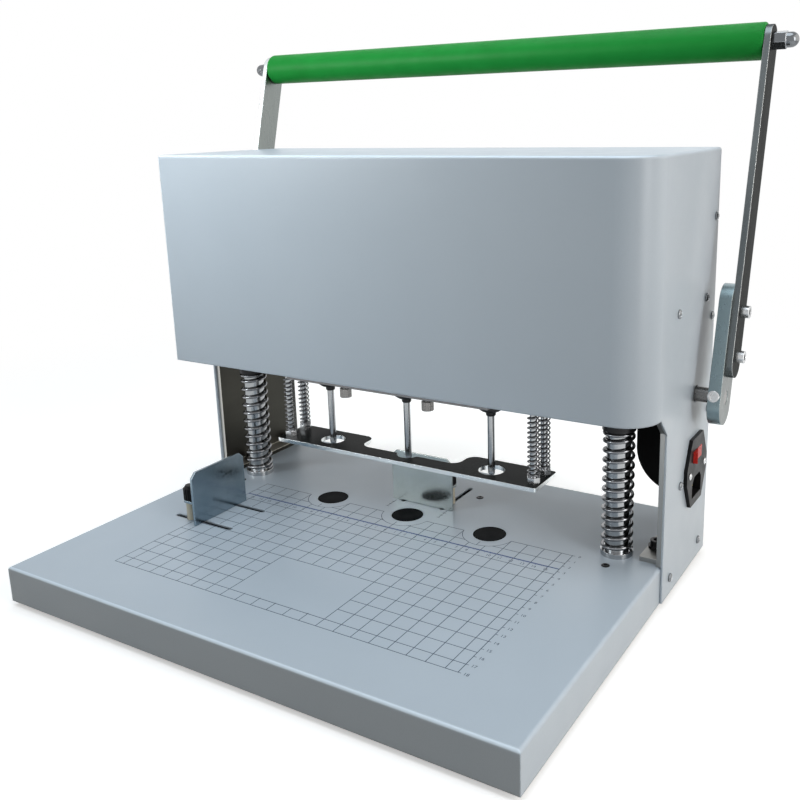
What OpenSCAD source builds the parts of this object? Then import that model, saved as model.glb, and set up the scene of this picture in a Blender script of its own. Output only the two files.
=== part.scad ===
// Electric three-hole paper punch with a hand lever
// Millimetres, +Z up, +Y to the back, origin on the table under the middle of the whole machine

/* [Base] */
// Width of the base pan
base_w = 455; // [440:1:480]
// Depth of the base pan, front to back
base_d = 352; // [344:1:390]
// Height of the base pan above its feet
base_h = 29.5; // [26:0.5:40]
// Sheet thickness of the base pan
base_sheet = 2; // [1.5:0.1:2.5]
// Outside radius of the folded top edges
base_edge_r = 2.6; // [2:0.1:4]
// Width of the lip folded in along the underside
base_lip = 42; // [38:1:60]
// Thickness of the bed plate under the table
bed_t = 8; // [6:0.5:10]
// Height of the rubber feet
foot_h = 4; // [3:0.5:8]
// Diameter of the rubber feet
foot_d = 20; // [14:1:20]
// Distance of the feet from the edges of the base
foot_inset = 28; // [20:1:28]

/* [Drills] */
// Distance between two drills
drill_pitch = 82.5; // [80:0.5:84]
// Distance of the drill line from the rear edge of the base
drill_back = 120; // [117:0.5:124]
// Distance of the drills behind the middle of their pads, which turn to a fresh place
spindle_back = 5; // [0:0.5:7]
// Outside diameter of the hollow bits
bit_d = 6; // [4:0.5:7]
// Bore of the hollow bits
bit_bore = 4.4; // [2.5:0.1:4.8]
// Diameter of the collets
collet_d = 8.4; // [8:0.1:10]
// Height of the collets below the motor nose
collet_h = 4.2; // [4:0.2:6]
// Diameter of the motor nose
nose_d = 21; // [18:0.5:21.5]
// Length of the nose below the motor plate
nose_h = 13; // [10:0.5:14]
// Diameter of the motor can
motor_d = 44; // [36:1:48]
// Height of the motor can
motor_h = 76; // [60:1:85]
// Diameter of the cutting pads
pad_d = 28; // [22:1:34]
// Thickness of the cutting pads
pad_t = 6; // [4:0.5:7]
// Stroke of the drill head
stroke = 51.5; // [40:0.5:52]

/* [Head] */
// Height of the lower edge of the cover above the table
throat_h = 124; // [121:0.5:132]
// Thickness of the sliding head plate
head_plate_t = 10; // [8:0.5:14]
// Depth of the sliding head plate
head_plate_d = 69; // [66:0.5:70]
// Thickness of the motor plate under the head plate
motor_plate_t = 5; // [4:0.5:7]
// Width of the motor plate
motor_plate_w = 200; // [194:1:210]
// Diameter of the knurled hand screws
knurl_d = 10; // [8:0.5:11]
// Length of the knurled hand screws
knurl_h = 7.5; // [6:0.5:9]
// Free stem of the hand screws below the motor plate
knurl_stem = 2.5; // [1:0.5:4]

/* [Presser] */
// Thickness of the presser plate
presser_t = 3.5; // [2.5:0.5:5]
// Length of the presser plate
presser_w = 264; // [260:1:270]
// Width of the bar along the front of the presser plate
presser_bar = 17.5; // [15:0.5:18]
// Width of the presser plate at its two lobes
presser_d = 41; // [39:0.5:43]
// Distance of its front edge in front of the drill line
presser_front = 19.5; // [18:0.5:21]
// Gap between the two lobes
presser_gap = 101; // [92:1:108]
// Diameter of the drill holes in the presser plate
presser_hole = 22; // [16:0.5:23]
// Travel of the presser plate against its springs
presser_travel = 44; // [30:1:44]
// Diameter of the presser rods
rod_d = 6; // [5:0.5:6.5]
// Distance between the rods of one pair
rod_pitch = 20; // [18:0.5:22]
// Distance of the rods from the ends of the presser plate
rod_inset = 7.2; // [7:0.1:9]
// Wire diameter of the presser springs
rod_wire = 1.2; // [0.8:0.1:1.4]
// Mean diameter of the presser springs
rod_spring_d = 9.2; // [9:0.1:10]
// Curls of each presser spring
rod_curls = 15; // [8:1:15]

/* [Columns] */
// Diameter of the guide columns
column_d = 19; // [16:0.5:20]
// Distance of the guide columns from the sides of the base
column_inset = 39.5; // [37:0.5:42]
// Distance of the columns behind the drill line
column_back = 18; // [16:1:20]
// Wire diameter of the return springs
column_wire = 2.3; // [2:0.1:2.6]
// Mean diameter of the return springs
column_spring_d = 23.2; // [22.8:0.1:24]
// Curls of each return spring
column_curls = 13; // [8:1:14]
// Height of the collars under the return springs
collar_h = 4; // [3:0.5:8]

/* [Cover] */
// Sheet thickness of the cover
cover_sheet = 1.6; // [1.2:0.1:2]
// Depth of the cover, front to back
cover_d = 159.5; // [158:0.5:164]
// Height of the cover above the throat
cover_h = 189; // [182:1:204]
// Radius of the upright front corner on the right
cover_corner_r = 28; // [20:1:40]
// Radius along the top edges
cover_edge_r = 2.5; // [2:0.1:4]
// Depth of the two side legs
leg_d = 113; // [108:1:118]
// Chamfer where a leg meets the lower edge of the cover
leg_chamfer = 15.5; // [10:0.5:17]
// Gap between cover and base
cover_gap = 0.3; // [0.2:0.05:0.6]
// How far the cover reaches behind the base
cover_overhang = 2; // [1.8:0.1:4]
// Thickness of the inner side frames
frame_t = 4; // [3:0.5:5]
// Width of the feet of the side frames
frame_foot = 15; // [14:0.5:17]

/* [Lever] */
// Height of the pivot shaft above the table
pivot_h = 121.5; // [119:0.5:126]
// Distance of the pivot shaft behind the drill line
pivot_back = 78; // [77:0.5:80]
// Diameter of the pivot shaft
shaft_d = 12; // [10:0.5:14]
// Distance from pivot to grip
lever_r = 282; // [270:1:306]
// Backward lean of the lever at rest, degrees
lever_lean = 15.5; // [5:0.5:20]
// Gap between cover and cranks
crank_gap = 13.6; // [10:0.2:18]
// Thickness of the cranks
crank_t = 10; // [8:0.5:14]
// Width of the cranks
crank_w = 32; // [28:0.5:36]
// Reach of the cranks above the pivot
crank_up = 90; // [86:1:102]
// Reach of the cranks below the pivot
crank_down = 22; // [20:0.5:26]
// Thickness of the lever arms
arm_t = 5; // [4:0.5:8]
// Width of the lever arms
arm_w = 25; // [20:0.5:28]
// Diameter of the grip
grip_d = 29; // [26:0.5:34]
// Diameter of the rod inside the grip
grip_rod_d = 8; // [6:0.5:10]

/* [Gears] */
// Tooth module of the pinions and racks
gear_m = 2; // [1.9:0.05:2.1]
// Teeth of each pinion
pinion_teeth = 29; // [28:1:30]
// Face width of pinions and racks
gear_w = 14; // [10:0.5:16]
// Distance of the pinions from the columns, towards the middle
pinion_inset = 35; // [32:0.5:37]
// Backlash between pinion and rack
backlash = 0.4; // [0.2:0.05:0.6]

/* [Gauges] */
// Length of the gauge plates
gauge_w = 63; // [56:1:70]
// Height of the gauge plates above the table
gauge_h = 48; // [40:0.5:49]
// Sheet thickness of the gauges
gauge_t = 2; // [1.5:0.1:3]
// Distance of the gauge bolts behind the plate
gauge_bolt_back = 15; // [13:0.5:16]
// Distance between the two bolts of one gauge
gauge_bolt_pitch = 41; // [36:0.5:44]
// Width of the gauge slots
slot_w = 5; // [4.8:0.1:6]
// Position of the side gauge face left of the middle
side_gauge_x = 149.5; // [144:0.5:154]
// Position of the middle of the side gauge in front of the drill line
side_gauge_front = 75; // [70:1:80]
// Distance of the rear gauge face behind the drill line
rear_gauge_back = 24.5; // [23:0.5:26]
// Travel of the side gauge to the left
side_travel_out = 16; // [8:1:18]
// Travel of the side gauge to the right
side_travel_in = 44; // [30:1:46]
// Travel of the rear gauge to the front
rear_travel_front = 14; // [8:1:15]
// Travel of the rear gauge to the back
rear_travel_back = 36; // [20:1:38]
// Diameter of the gauge knobs
knob_d = 12; // [10:0.5:14]
// Height of the gauge knobs
knob_h = 13; // [10:0.5:16]
// Diameter of the spacers under the knobs
spacer_d = 9; // [8:0.5:10]
// Height of the spacers
spacer_h = 16.5; // [10:0.5:18]

/* [Power inlet] */
// Height of the inlet's middle above the table
inlet_z = 57.5; // [54:0.5:60]
// Distance of the inlet's middle behind the drill line
inlet_back = 80; // [76:0.5:82]
// Width of the inlet flange at its ears
inlet_w = 54; // [50:1:56]
// Height of the inlet flange
inlet_h = 57.5; // [56:0.5:62]
// Thickness of the inlet flange
inlet_t = 3; // [2.5:0.1:4]
// Depth of the inlet body behind the flange
inlet_depth = 20; // [18:0.5:22]
// Angle between the two positions of the switch
switch_angle = 16; // [8:1:18]

/* [Hidden] */
$fn = 64;
hole_gap = 0.15;      // clearance round a fastener or a seated piece
run_gap = 0.05;       // radial clearance of a running fit
seat_gap = 0.3;       // clearance between pieces that move apart
over = 1;             // how far a cutter runs past what it cuts

// heights
base_top = foot_h + base_h;
cover_z = base_top + throat_h;
cover_top = cover_z + cover_h;
pivot_z = base_top + pivot_h;
motor_plate_z = cover_z - 3.5;
head_z = motor_plate_z + motor_plate_t;
head_top = head_z + head_plate_t;
nose_z = motor_plate_z - nose_h;
collet_z = nose_z - collet_h - seat_gap;
tip_gap = 0.4;        // between a bit at full stroke and its pad
presser_gap_z = 0.35; // between the presser plate at full stroke and the table
bit_tip = base_top + stroke + tip_gap;
presser_z = base_top + stroke + presser_gap_z;
presser_top = presser_z + presser_t;
bed_z = base_top - base_sheet - bed_t;

// places across the base
lever_over = pivot_back - drill_back + lever_r * sin(lever_lean) + grip_d / 2;
base_back = round(5 * (base_d - lever_over)) / 10;
base_front = base_back - base_d;
base_mid = base_back - base_d / 2;
drill_y = base_back - drill_back;
spindle_y = drill_y + spindle_back;
column_x = base_w / 2 - column_inset;
column_y = drill_y + column_back;
pivot_y = drill_y + pivot_back;
drill_xs = [-drill_pitch, 0, drill_pitch];
sides = [-1, 1];

// cover and side frames
cover_w = base_w + 2 * (cover_gap + cover_sheet);
cover_back = base_back + cover_overhang;
cover_front = cover_back - cover_d;
cover_in = cover_w / 2 - cover_sheet;
leg_front = base_back - leg_d;
frame_x = base_w / 2;
frame_in = frame_x - frame_t;
frame_margin = 2;
frame_top = cover_top - 14;
frame_front = leg_front - leg_chamfer;
frame_foot_x = frame_in - frame_foot / 2 - 1;
frame_foot_back = 6;
frame_bolt_ys = [leg_front + 28, base_back - 20];
frame_bolt_d = 6;
rear_panel_z = cover_z + 7.5;
rear_flange = 18;
panel_gap = 0.2;
frame_step_y = cover_back - rear_flange - 1;
frame_step_z = rear_panel_z - 2;
beam_d = 2.2 * column_d;
beam_t = bed_t;
beam_z = frame_top - 2.25 * bed_t;
column_nut_h = column_d * 0.42;

// gear train
pinion_r = gear_m * pinion_teeth / 2;
pinion_x = column_x - pinion_inset;
rack_pitch_y = pivot_y - pinion_r;
lever_swing = stroke / pinion_r * 180 / PI;

// sliding head
head_back = rack_pitch_y - 1.25 * gear_m - 10.5;
head_front = head_back - head_plate_d;
head_w = 2 * column_x + 44;
bush_d = column_d + 6;
bush_flange_d = column_spring_d + column_wire + 0.8;
bush_flange_h = 21.5;
bush_top = head_top + 24;
bush_z = head_z - bush_flange_h;
knurl_x = drill_pitch / 2;
knurl_y = head_front + 7;
knurl_stud_d = 5;
rod_x = presser_w / 2 - rod_inset;
rod_y = spindle_y + 2;
rod_ys = [rod_y - rod_pitch / 2, rod_y + rod_pitch / 2];
rod_nut_h = 5;
rod_nut_af = 10;
rod_top = head_top + rod_nut_h + seat_gap + 3;

// springs
collar_top = base_top + collar_h;
column_spring_z = collar_top + seat_gap;
column_spring_h = bush_z - seat_gap - column_spring_z;
rod_spring_z = presser_top + rod_nut_h + seat_gap;
rod_spring_h = head_z - seat_gap - rod_spring_z;
rings_per_curl = 8;
tube_sides = 6;

// lever
crank_x = cover_w / 2 + crank_gap;
arm_x = crank_x + crank_t;
arm_out = arm_x + arm_t;
crank_bolt_rs = [crank_up * 0.367, crank_up * 0.761];
crank_bolt_d = 6;
arm_low = 16;
grip_end = arm_x - seat_gap;
grip_nut_h = 6;
acorn_h = 13;

// gauges
gauge_z = base_top + seat_gap;
spacer_top = gauge_z + spacer_h;
flange_top = spacer_top + gauge_t;
gauge_bolt_d = 4;
gauge_bolt_head_h = 4;
gauge_bolt_head_d = 9;
side_gauge_y = drill_y - side_gauge_front;
rear_gauge_y = drill_y + rear_gauge_back;
side_bolt_x = -side_gauge_x - gauge_bolt_back;
rear_bolt_y = rear_gauge_y + gauge_bolt_back;
slot_spare = slot_w / 2 + 0.5;
bed_front = drill_y - 17;
bed_back = base_back - 10;
bed_w = base_w - 14;
bed_window_w = gauge_bolt_pitch + gauge_bolt_head_d + 4;
bed_window_front = rear_bolt_y - rear_travel_front - gauge_bolt_head_d / 2 - 1;
bed_window_back = rear_bolt_y + rear_travel_back + gauge_bolt_head_d / 2 + 1;

// inlet
inlet_y = drill_y + inlet_back;
inlet_mid = base_top + inlet_z;
inlet_body_w = 27.5;
inlet_body_h = 50;
inlet_out = cover_w / 2 + inlet_t;
inlet_in = cover_w / 2 - inlet_depth;
inlet_ear = 20;
socket_w = 24.4;
socket_h = 17.4;
socket_depth = 16;
socket_z = inlet_mid - 13.5;
switch_w = 23;
switch_h = 9.6;
switch_pin_d = 2;
switch_pin_h = 1;
switch_z = inlet_mid + 13;
switch_depth = 8;
switch_pivot = inlet_out - 3;
wiring_x = 36.5;
wiring_t = 2;
wiring_z = inlet_mid - 17.5;
wiring_top = pivot_z - shaft_d / 2 - 12;
wiring_r = 36;
wiring_front = inlet_y - inlet_body_w / 2 - 4;
wiring_back = inlet_y + inlet_body_w / 2 + 4;

// screws on the sides of the cover: distance from the rear edge of the base, and height
screw_d = 4;
screw_head_d = 7;
screw_head_h = 2.2;
panel_screws = [[5, cover_z + cover_h * 0.288], [5, cover_z + cover_h * 0.717]];
frame_screws = [
    [leg_d * 0.204, cover_z + cover_h * 0.384], [leg_d * 0.841, cover_z + cover_h * 0.384],
    [leg_d * 0.062, cover_z - throat_h * 0.194], [leg_d * 0.673, cover_z - throat_h * 0.556]];
base_screws = [[leg_d * 0.168, foot_h + base_h / 2], [leg_d * 0.841, foot_h + base_h / 2]];

// shared shapes

// Extrudes a profile drawn in Y and Z along X, from x0 over a length t
module along_x(x0, t) {
    translate([x0, 0, 0])
        rotate([90, 0, 90])
            linear_extrude(t) children();
}

// Extrudes a profile drawn in X and Z along Y, from y0 over a length t
module along_y(y0, t) {
    translate([0, y0 + t, 0])
        rotate([90, 0, 0])
            linear_extrude(t) children();
}

// A round bar along X from x0 to x1
module bar_x(x0, x1, d) {
    translate([x0, 0, 0])
        rotate([0, 90, 0])
            cylinder(d = d, h = x1 - x0);
}

// A flat rectangle with round corners
module round_rect(w, d, r) {
    square([w - 2 * r, d], center = true);
    square([w, d - 2 * r], center = true);
    for (x = sides, y = sides)
        translate([x * (w / 2 - r), y * (d / 2 - r)]) circle(r);
}

// A flat slot or bar with round ends, from y = a to y = b between its end centres
module obround(a, b, w) {
    translate([-w / 2, a]) square([w, b - a]);
    translate([0, a]) circle(d = w);
    translate([0, b]) circle(d = w);
}

// Moves a piece that is drawn with the lever upright to the lever's place
module on_lever() {
    translate([0, pivot_y, pivot_z])
        rotate([-lever_lean, 0, 0]) children();
}

// A hexagonal nut standing on z = 0
module hex_nut(af, h, bore) {
    difference() {
        cylinder(d = af / cos(30), h = h, $fn = 6);
        translate([0, 0, -over]) cylinder(d = bore, h = h + 2 * over);
    }
}

// A socket-head bolt, head upwards, with its head standing on z = 0
module socket_bolt(d, head_d, head_h, shank) {
    difference() {
        union() {
            cylinder(d = head_d, h = head_h);
            translate([0, 0, -shank]) cylinder(d = d, h = shank + over);
        }
        translate([0, 0, head_h * 0.45]) cylinder(d = d * 0.95, h = head_h, $fn = 6);
    }
}

// A pan-head screw lying along X, head at x = 0 pointing to +X
module side_screw(shank) {
    rotate([0, 90, 0]) {
        cylinder(d1 = screw_head_d, d2 = screw_head_d * 0.66, h = screw_head_h);
        translate([0, 0, -shank]) cylinder(d = screw_d, h = shank + 0.1);
    }
}

// springs

// Points along a spring: straight ends, one wire diameter long, and a helix between them
function spring_path(r, wire, h, curls) = concat(
    [[r, 0, 0]],
    [for (i = [0 : curls * rings_per_curl])
        let (a = 360 * i / rings_per_curl)
        [r * cos(a), r * sin(a), wire + (h - 2 * wire) * i / (curls * rings_per_curl)]],
    [[r, 0, h]]);

function unit(v) = v / norm(v);

// Direction of a path at point i
function heading(p, i) = unit(p[min(i + 1, len(p) - 1)] - p[max(i - 1, 0)]);

// One ring of the wire, square to the path
function wire_ring(p, i, wire) =
    let (
        t = heading(p, i),
        b = unit(cross(t, [p[i].x, p[i].y, 0])),
        n = cross(b, t))
    [for (k = [0 : tube_sides - 1])
        let (a = 360 * k / tube_sides)
        p[i] + wire / 2 * (cos(a) * n + sin(a) * b)];

// Least free gap between two curls of a spring, measured between points of its path
function spring_gap(p, wire) = min([
    for (i = [0 : len(p) - 1])
        for (j = [i + rings_per_curl - 2 : 1 : min(i + 2 * rings_per_curl, len(p) - 1)])
            norm(p[i] - p[j])]) - wire;

// One unbroken tube wound as a spring, standing on z = 0
module spring(r, wire, h, curls) {
    path = spring_path(r, wire, h, curls);
    count = len(path);
    last = (count - 1) * tube_sides;
    points = [for (i = [0 : count - 1]) each wire_ring(path, i, wire)];
    walls = [
        for (i = [0 : count - 2])
            for (k = [0 : tube_sides - 1])
                let (
                    m = (k + 1) % tube_sides,
                    a = i * tube_sides + k,
                    b = i * tube_sides + m,
                    c = a + tube_sides,
                    d = b + tube_sides)
                each [[a, c, b], [b, c, d]]];
    start_cap = [for (k = [1 : tube_sides - 2]) [0, k, k + 1]];
    end_cap = [for (k = [1 : tube_sides - 2]) [last, last + k + 1, last + k]];
    polyhedron(points = points, faces = concat(walls, start_cap, end_cap), convexity = 10);
}

// base

// Profile of the pan across one direction, with round top edges
module pan_profile(w) {
    translate([-w / 2, foot_h]) square([w, base_h - base_edge_r]);
    translate([-w / 2 + base_edge_r, foot_h]) square([w - 2 * base_edge_r, base_h]);
    for (s = sides)
        translate([s * (w / 2 - base_edge_r), base_top - base_edge_r]) circle(base_edge_r);
}

// The slots that the gauge bolts run in
module gauge_slots() {
    for (s = sides) {
        translate([0, side_gauge_y + s * gauge_bolt_pitch / 2, 0])
            rotate([0, 0, -90])
                linear_extrude(base_top + over)
                    obround(side_bolt_x - side_travel_out - 0.5, side_bolt_x + side_travel_in + 0.5, slot_w);
        translate([s * gauge_bolt_pitch / 2, 0, 0])
            linear_extrude(base_top + over)
                obround(rear_bolt_y - rear_travel_front - 0.5, rear_bolt_y + rear_travel_back + 0.5, slot_w);
    }
}

module base_pan() {
    color("lightsteelblue")
    difference() {
        intersection() {
            along_y(base_front, base_d) pan_profile(base_w);
            translate([0, base_mid, 0]) along_x(-base_w / 2, base_w) pan_profile(base_d);
        }
        translate([-base_w / 2 + base_sheet, base_front + base_sheet, foot_h + base_sheet])
            cube([base_w - 2 * base_sheet, base_d - 2 * base_sheet, base_h - 2 * base_sheet]);
        translate([-base_w / 2 + base_lip, base_front + base_lip, 0])
            cube([base_w - 2 * base_lip, base_d - 2 * base_lip, foot_h + base_sheet + over]);
        for (x = drill_xs)
            translate([x, drill_y, bed_z]) cylinder(d = pad_d + 2 * hole_gap, h = base_h);
        for (s = sides) {
            translate([s * column_x, column_y, bed_z]) cylinder(d = column_d + 2 * hole_gap, h = base_h);
            for (y = frame_bolt_ys)
                translate([s * frame_foot_x, y, bed_z]) cylinder(d = frame_bolt_d + 2 * hole_gap, h = base_h);
            for (p = base_screws)
                translate([0, base_back - p[0], p[1]])
                    bar_x(s * base_w / 2 - 10, s * base_w / 2 + 10, screw_d + 2 * hole_gap);
        }
        gauge_slots();
    }
}

module bed_plate() {
    color("dimgray")
    difference() {
        translate([-bed_w / 2, bed_front, bed_z]) cube([bed_w, bed_back - bed_front, bed_t]);
        for (x = drill_xs)
            translate([x, drill_y, base_top - pad_t]) cylinder(d = pad_d + 2 * hole_gap, h = pad_t);
        for (s = sides) {
            translate([s * column_x, column_y, 0]) cylinder(d = column_d + 2 * hole_gap, h = base_top);
            for (y = frame_bolt_ys)
                translate([s * frame_foot_x, y, 0]) cylinder(d = frame_bolt_d + 2 * hole_gap, h = base_top);
        }
        translate([-bed_window_w / 2, bed_window_front, 0])
            cube([bed_window_w, bed_window_back - bed_window_front, base_top]);
    }
}

module rubber_feet() {
    color([0.1, 0.1, 0.1])
    for (x = sides, y = sides)
        translate([x * (base_w / 2 - foot_inset), base_mid + y * (base_d / 2 - foot_inset), 0])
            cylinder(d1 = foot_d - 2, d2 = foot_d, h = foot_h);
}

module cutting_pads() {
    color([0.08, 0.08, 0.09])
    for (x = drill_xs)
        translate([x, drill_y, base_top - pad_t]) cylinder(d = pad_d, h = pad_t);
}

// frame

module frame_profile() {
    polygon([
        [leg_front + frame_margin, base_top],
        [base_back - frame_margin, base_top],
        [base_back - frame_margin, frame_step_z],
        [frame_step_y, frame_step_z],
        [frame_step_y, frame_top],
        [frame_front, frame_top],
        [frame_front, cover_z + frame_margin],
        [leg_front + frame_margin, cover_z - leg_chamfer]]);
}

// The right-hand side frame without its cut-out: a plate with a foot folded inwards
module side_frame() {
    difference() {
        union() {
            along_x(frame_in, frame_t) frame_profile();
            translate([frame_in - frame_foot, leg_front + frame_foot_back, base_top])
                cube([frame_foot + over, leg_d - frame_foot_back - frame_margin, frame_t]);
        }
        translate([0, pivot_y, pivot_z])
            bar_x(frame_in - over, frame_x + over, shaft_d + 6 + 2 * hole_gap);
        for (y = frame_bolt_ys)
            translate([frame_foot_x, y, 0])
                cylinder(d = frame_bolt_d + 2 * hole_gap, h = base_top + frame_t + over);
        for (p = frame_screws)
            translate([0, base_back - p[0], p[1]])
                bar_x(frame_in - over, frame_x + over, screw_d + 2 * hole_gap);
    }
}

module left_side_frame() {
    color("silver") mirror([1, 0, 0]) side_frame();
}

module right_side_frame() {
    color("silver")
    difference() {
        side_frame();
        translate([frame_in - over, inlet_y, inlet_mid])
            inlet_cutout(frame_t + 2 * over);
    }
}

// The square hole that the inlet body passes through
module inlet_cutout(t) {
    translate([0, -inlet_body_w / 2 - hole_gap, -inlet_body_h / 2 - hole_gap])
        cube([t, inlet_body_w + 2 * hole_gap, inlet_body_h + 2 * hole_gap]);
}

module frame_foot_bolts() {
    color([0.1, 0.1, 0.1])
    for (s = sides, y = frame_bolt_ys)
        translate([s * frame_foot_x, y, base_top + frame_t]) {
            socket_bolt(frame_bolt_d, 10, 6, frame_t + base_sheet + bed_t);
            difference() {
                cylinder(d = 13, h = 1.5);
                translate([0, 0, -over]) cylinder(d = frame_bolt_d, h = 4);
            }
        }
}

module top_beam() {
    color("silver")
    difference() {
        translate([-frame_in, column_y - beam_d / 2, beam_z]) cube([2 * frame_in, beam_d, beam_t]);
        for (s = sides)
            translate([s * column_x, column_y, 0])
                cylinder(d = column_d * 0.6 + 2 * hole_gap, h = cover_top);
    }
}

// columns

// A guide column with a shoulder under the top beam
module column(s) {
    translate([s * column_x, column_y, bed_z]) {
        cylinder(d = column_d, h = beam_z - bed_z);
        cylinder(d = column_d * 0.6, h = beam_z + beam_t + column_nut_h + 1 - bed_z);
    }
}

module left_column() {
    color("lightgray") column(-1);
}

module right_column() {
    color("lightgray") column(1);
}

module column_collars() {
    color("silver")
    for (s = sides)
        translate([s * column_x, column_y, base_top])
            difference() {
                cylinder(d = column_spring_d + column_wire + 0.4, h = collar_h);
                translate([0, 0, -over]) cylinder(d = column_d + 2 * hole_gap, h = collar_h + 2 * over);
            }
}

module column_nuts() {
    color("silver")
    for (s = sides)
        translate([s * column_x, column_y, beam_z + beam_t])
            hex_nut(column_d, column_nut_h, column_d * 0.6 + 2 * hole_gap);
}

module column_spring(s) {
    translate([s * column_x, column_y, column_spring_z])
        spring(column_spring_d / 2, column_wire, column_spring_h, column_curls);
}

module left_column_spring() {
    color("silver") column_spring(-1);
}

module right_column_spring() {
    color("silver") column_spring(1);
}

// cover

// Plan of the cover set in by a distance, and by another on the left, where the front corner is a plain fold
module cover_plan(inset, left, back) {
    w = cover_w / 2;
    corner_x = w - cover_corner_r;
    corner_y = cover_front + cover_corner_r;
    translate([-w + left, cover_front + inset]) square([w - left + corner_x, back - cover_front - inset]);
    translate([-w + left, corner_y]) square([2 * w - left - inset, back - corner_y]);
    translate([corner_x, corner_y]) circle(cover_corner_r - inset);
}

// End view of the cover with a round top edge on the left
module cover_end() {
    e = cover_edge_r;
    translate([-cover_w / 2, -over]) square([2 * cover_w, cover_top - e + over]);
    translate([-cover_w / 2 + e, -over]) square([2 * cover_w, cover_top + over]);
    translate([-cover_w / 2 + e, cover_top - e]) circle(e);
}

// The cover as a solid block with rounded top edges
module cover_block() {
    e = cover_edge_r;
    corner_x = cover_w / 2 - cover_corner_r;
    corner_y = cover_front + cover_corner_r;
    edge_z = cover_top - e;
    intersection() {
        union() {
            linear_extrude(edge_z) cover_plan(0, 0, cover_back);
            linear_extrude(cover_top) cover_plan(e, 0, cover_back);
            translate([0, cover_front + e, edge_z]) bar_x(-cover_w / 2, corner_x, 2 * e);
            translate([cover_w / 2 - e, cover_back, edge_z])
                rotate([90, 0, 0]) cylinder(r = e, h = cover_back - corner_y);
            translate([corner_x, corner_y, edge_z])
                rotate_extrude() translate([cover_corner_r - e, 0]) circle(e);
        }
        along_y(cover_front - over, cover_d + 2 * over) cover_end();
    }
}

// Side view of what is cut away from the cover below the head
module cover_throat() {
    polygon([
        [cover_front - over, 0],
        [leg_front, 0],
        [leg_front, cover_z - leg_chamfer],
        [leg_front - leg_chamfer, cover_z],
        [cover_front - over, cover_z]]);
}

module head_cover() {
    color("lightsteelblue")
    difference() {
        cover_block();
        translate([0, 0, -over])
            linear_extrude(cover_top - cover_sheet + over)
                cover_plan(cover_sheet, cover_sheet, cover_back + over);
        along_x(-cover_w, 2 * cover_w) cover_throat();
        translate([-cover_w, base_mid, -over]) cube([2 * cover_w, base_d, foot_h + 0.5 + over]);
        translate([-cover_w, base_back, 0]) cube([2 * cover_w, base_d, rear_panel_z - over]);
        translate([0, pivot_y, pivot_z]) bar_x(-cover_w, cover_w, shaft_d + 1.6);
        for (p = concat(panel_screws, frame_screws, base_screws))
            translate([0, base_back - p[0], p[1]]) bar_x(-cover_w, cover_w, screw_d + 2 * hole_gap);
        translate([cover_in - over, inlet_y, inlet_mid]) inlet_cutout(cover_sheet + 2 * over);
        for (s = sides)
            translate([0, inlet_y + s * inlet_ear, inlet_mid])
                bar_x(cover_in - over, cover_w, 3 + 2 * hole_gap);
    }
}

module rear_panel() {
    w = 2 * (cover_in - panel_gap);
    top = cover_top - cover_sheet - panel_gap;
    slot_count = 7;
    slot_step = 22;
    color("lightsteelblue")
    difference() {
        translate([-w / 2, cover_back - rear_flange, rear_panel_z]) cube([w, rear_flange, top - rear_panel_z]);
        translate([-w / 2 + cover_sheet, cover_back - rear_flange - over, rear_panel_z - over])
            cube([w - 2 * cover_sheet, rear_flange + over - cover_sheet, top - rear_panel_z + over - cover_sheet]);
        for (p = panel_screws)
            translate([0, base_back - p[0], p[1]]) bar_x(-cover_w, cover_w, screw_d + 2 * hole_gap);
        for (i = [0 : slot_count - 1], s = sides)
            translate([s * 90 + (i - (slot_count - 1) / 2) * slot_step * 0.6, cover_back - cover_sheet - over, 0])
                rotate([-90, 0, 0]) mirror([0, 1, 0])
                    linear_extrude(cover_sheet + 2 * over)
                        obround(cover_z + cover_h * 0.45, cover_z + cover_h * 0.66, 5);
    }
}

module cover_screws() {
    color("silver")
    for (s = sides)
        mirror([s < 0 ? 1 : 0, 0, 0]) {
            for (p = panel_screws)
                translate([cover_w / 2, base_back - p[0], p[1]]) side_screw(cover_sheet + panel_gap + 2);
            for (p = frame_screws)
                translate([cover_w / 2, base_back - p[0], p[1]]) side_screw(cover_sheet + cover_gap + frame_t);
            for (p = base_screws)
                translate([cover_w / 2, base_back - p[0], p[1]]) side_screw(cover_sheet + cover_gap + base_sheet);
        }
}

module shaft_bushes() {
    color("darkgoldenrod")
    for (s = sides)
        mirror([s < 0 ? 1 : 0, 0, 0])
            translate([0, pivot_y, pivot_z])
                difference() {
                    union() {
                        bar_x(frame_in, frame_x, shaft_d + 6);
                        bar_x(frame_in - 2, frame_in, shaft_d + 10);
                    }
                    bar_x(frame_in - 3, frame_x + 1, shaft_d + 2 * run_gap);
                }
}

// power inlet

// Outline of the flange, wide at its two ears
module inlet_outline() {
    w = inlet_w / 2;
    h = inlet_h / 2;
    top_w = inlet_body_w / 2 + 1;
    ear = 6;
    polygon([
        [-top_w, h], [top_w, h], [w, ear], [w, -ear],
        [top_w, -h], [-top_w, -h], [-w, -ear], [-w, ear]]);
}

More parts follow.
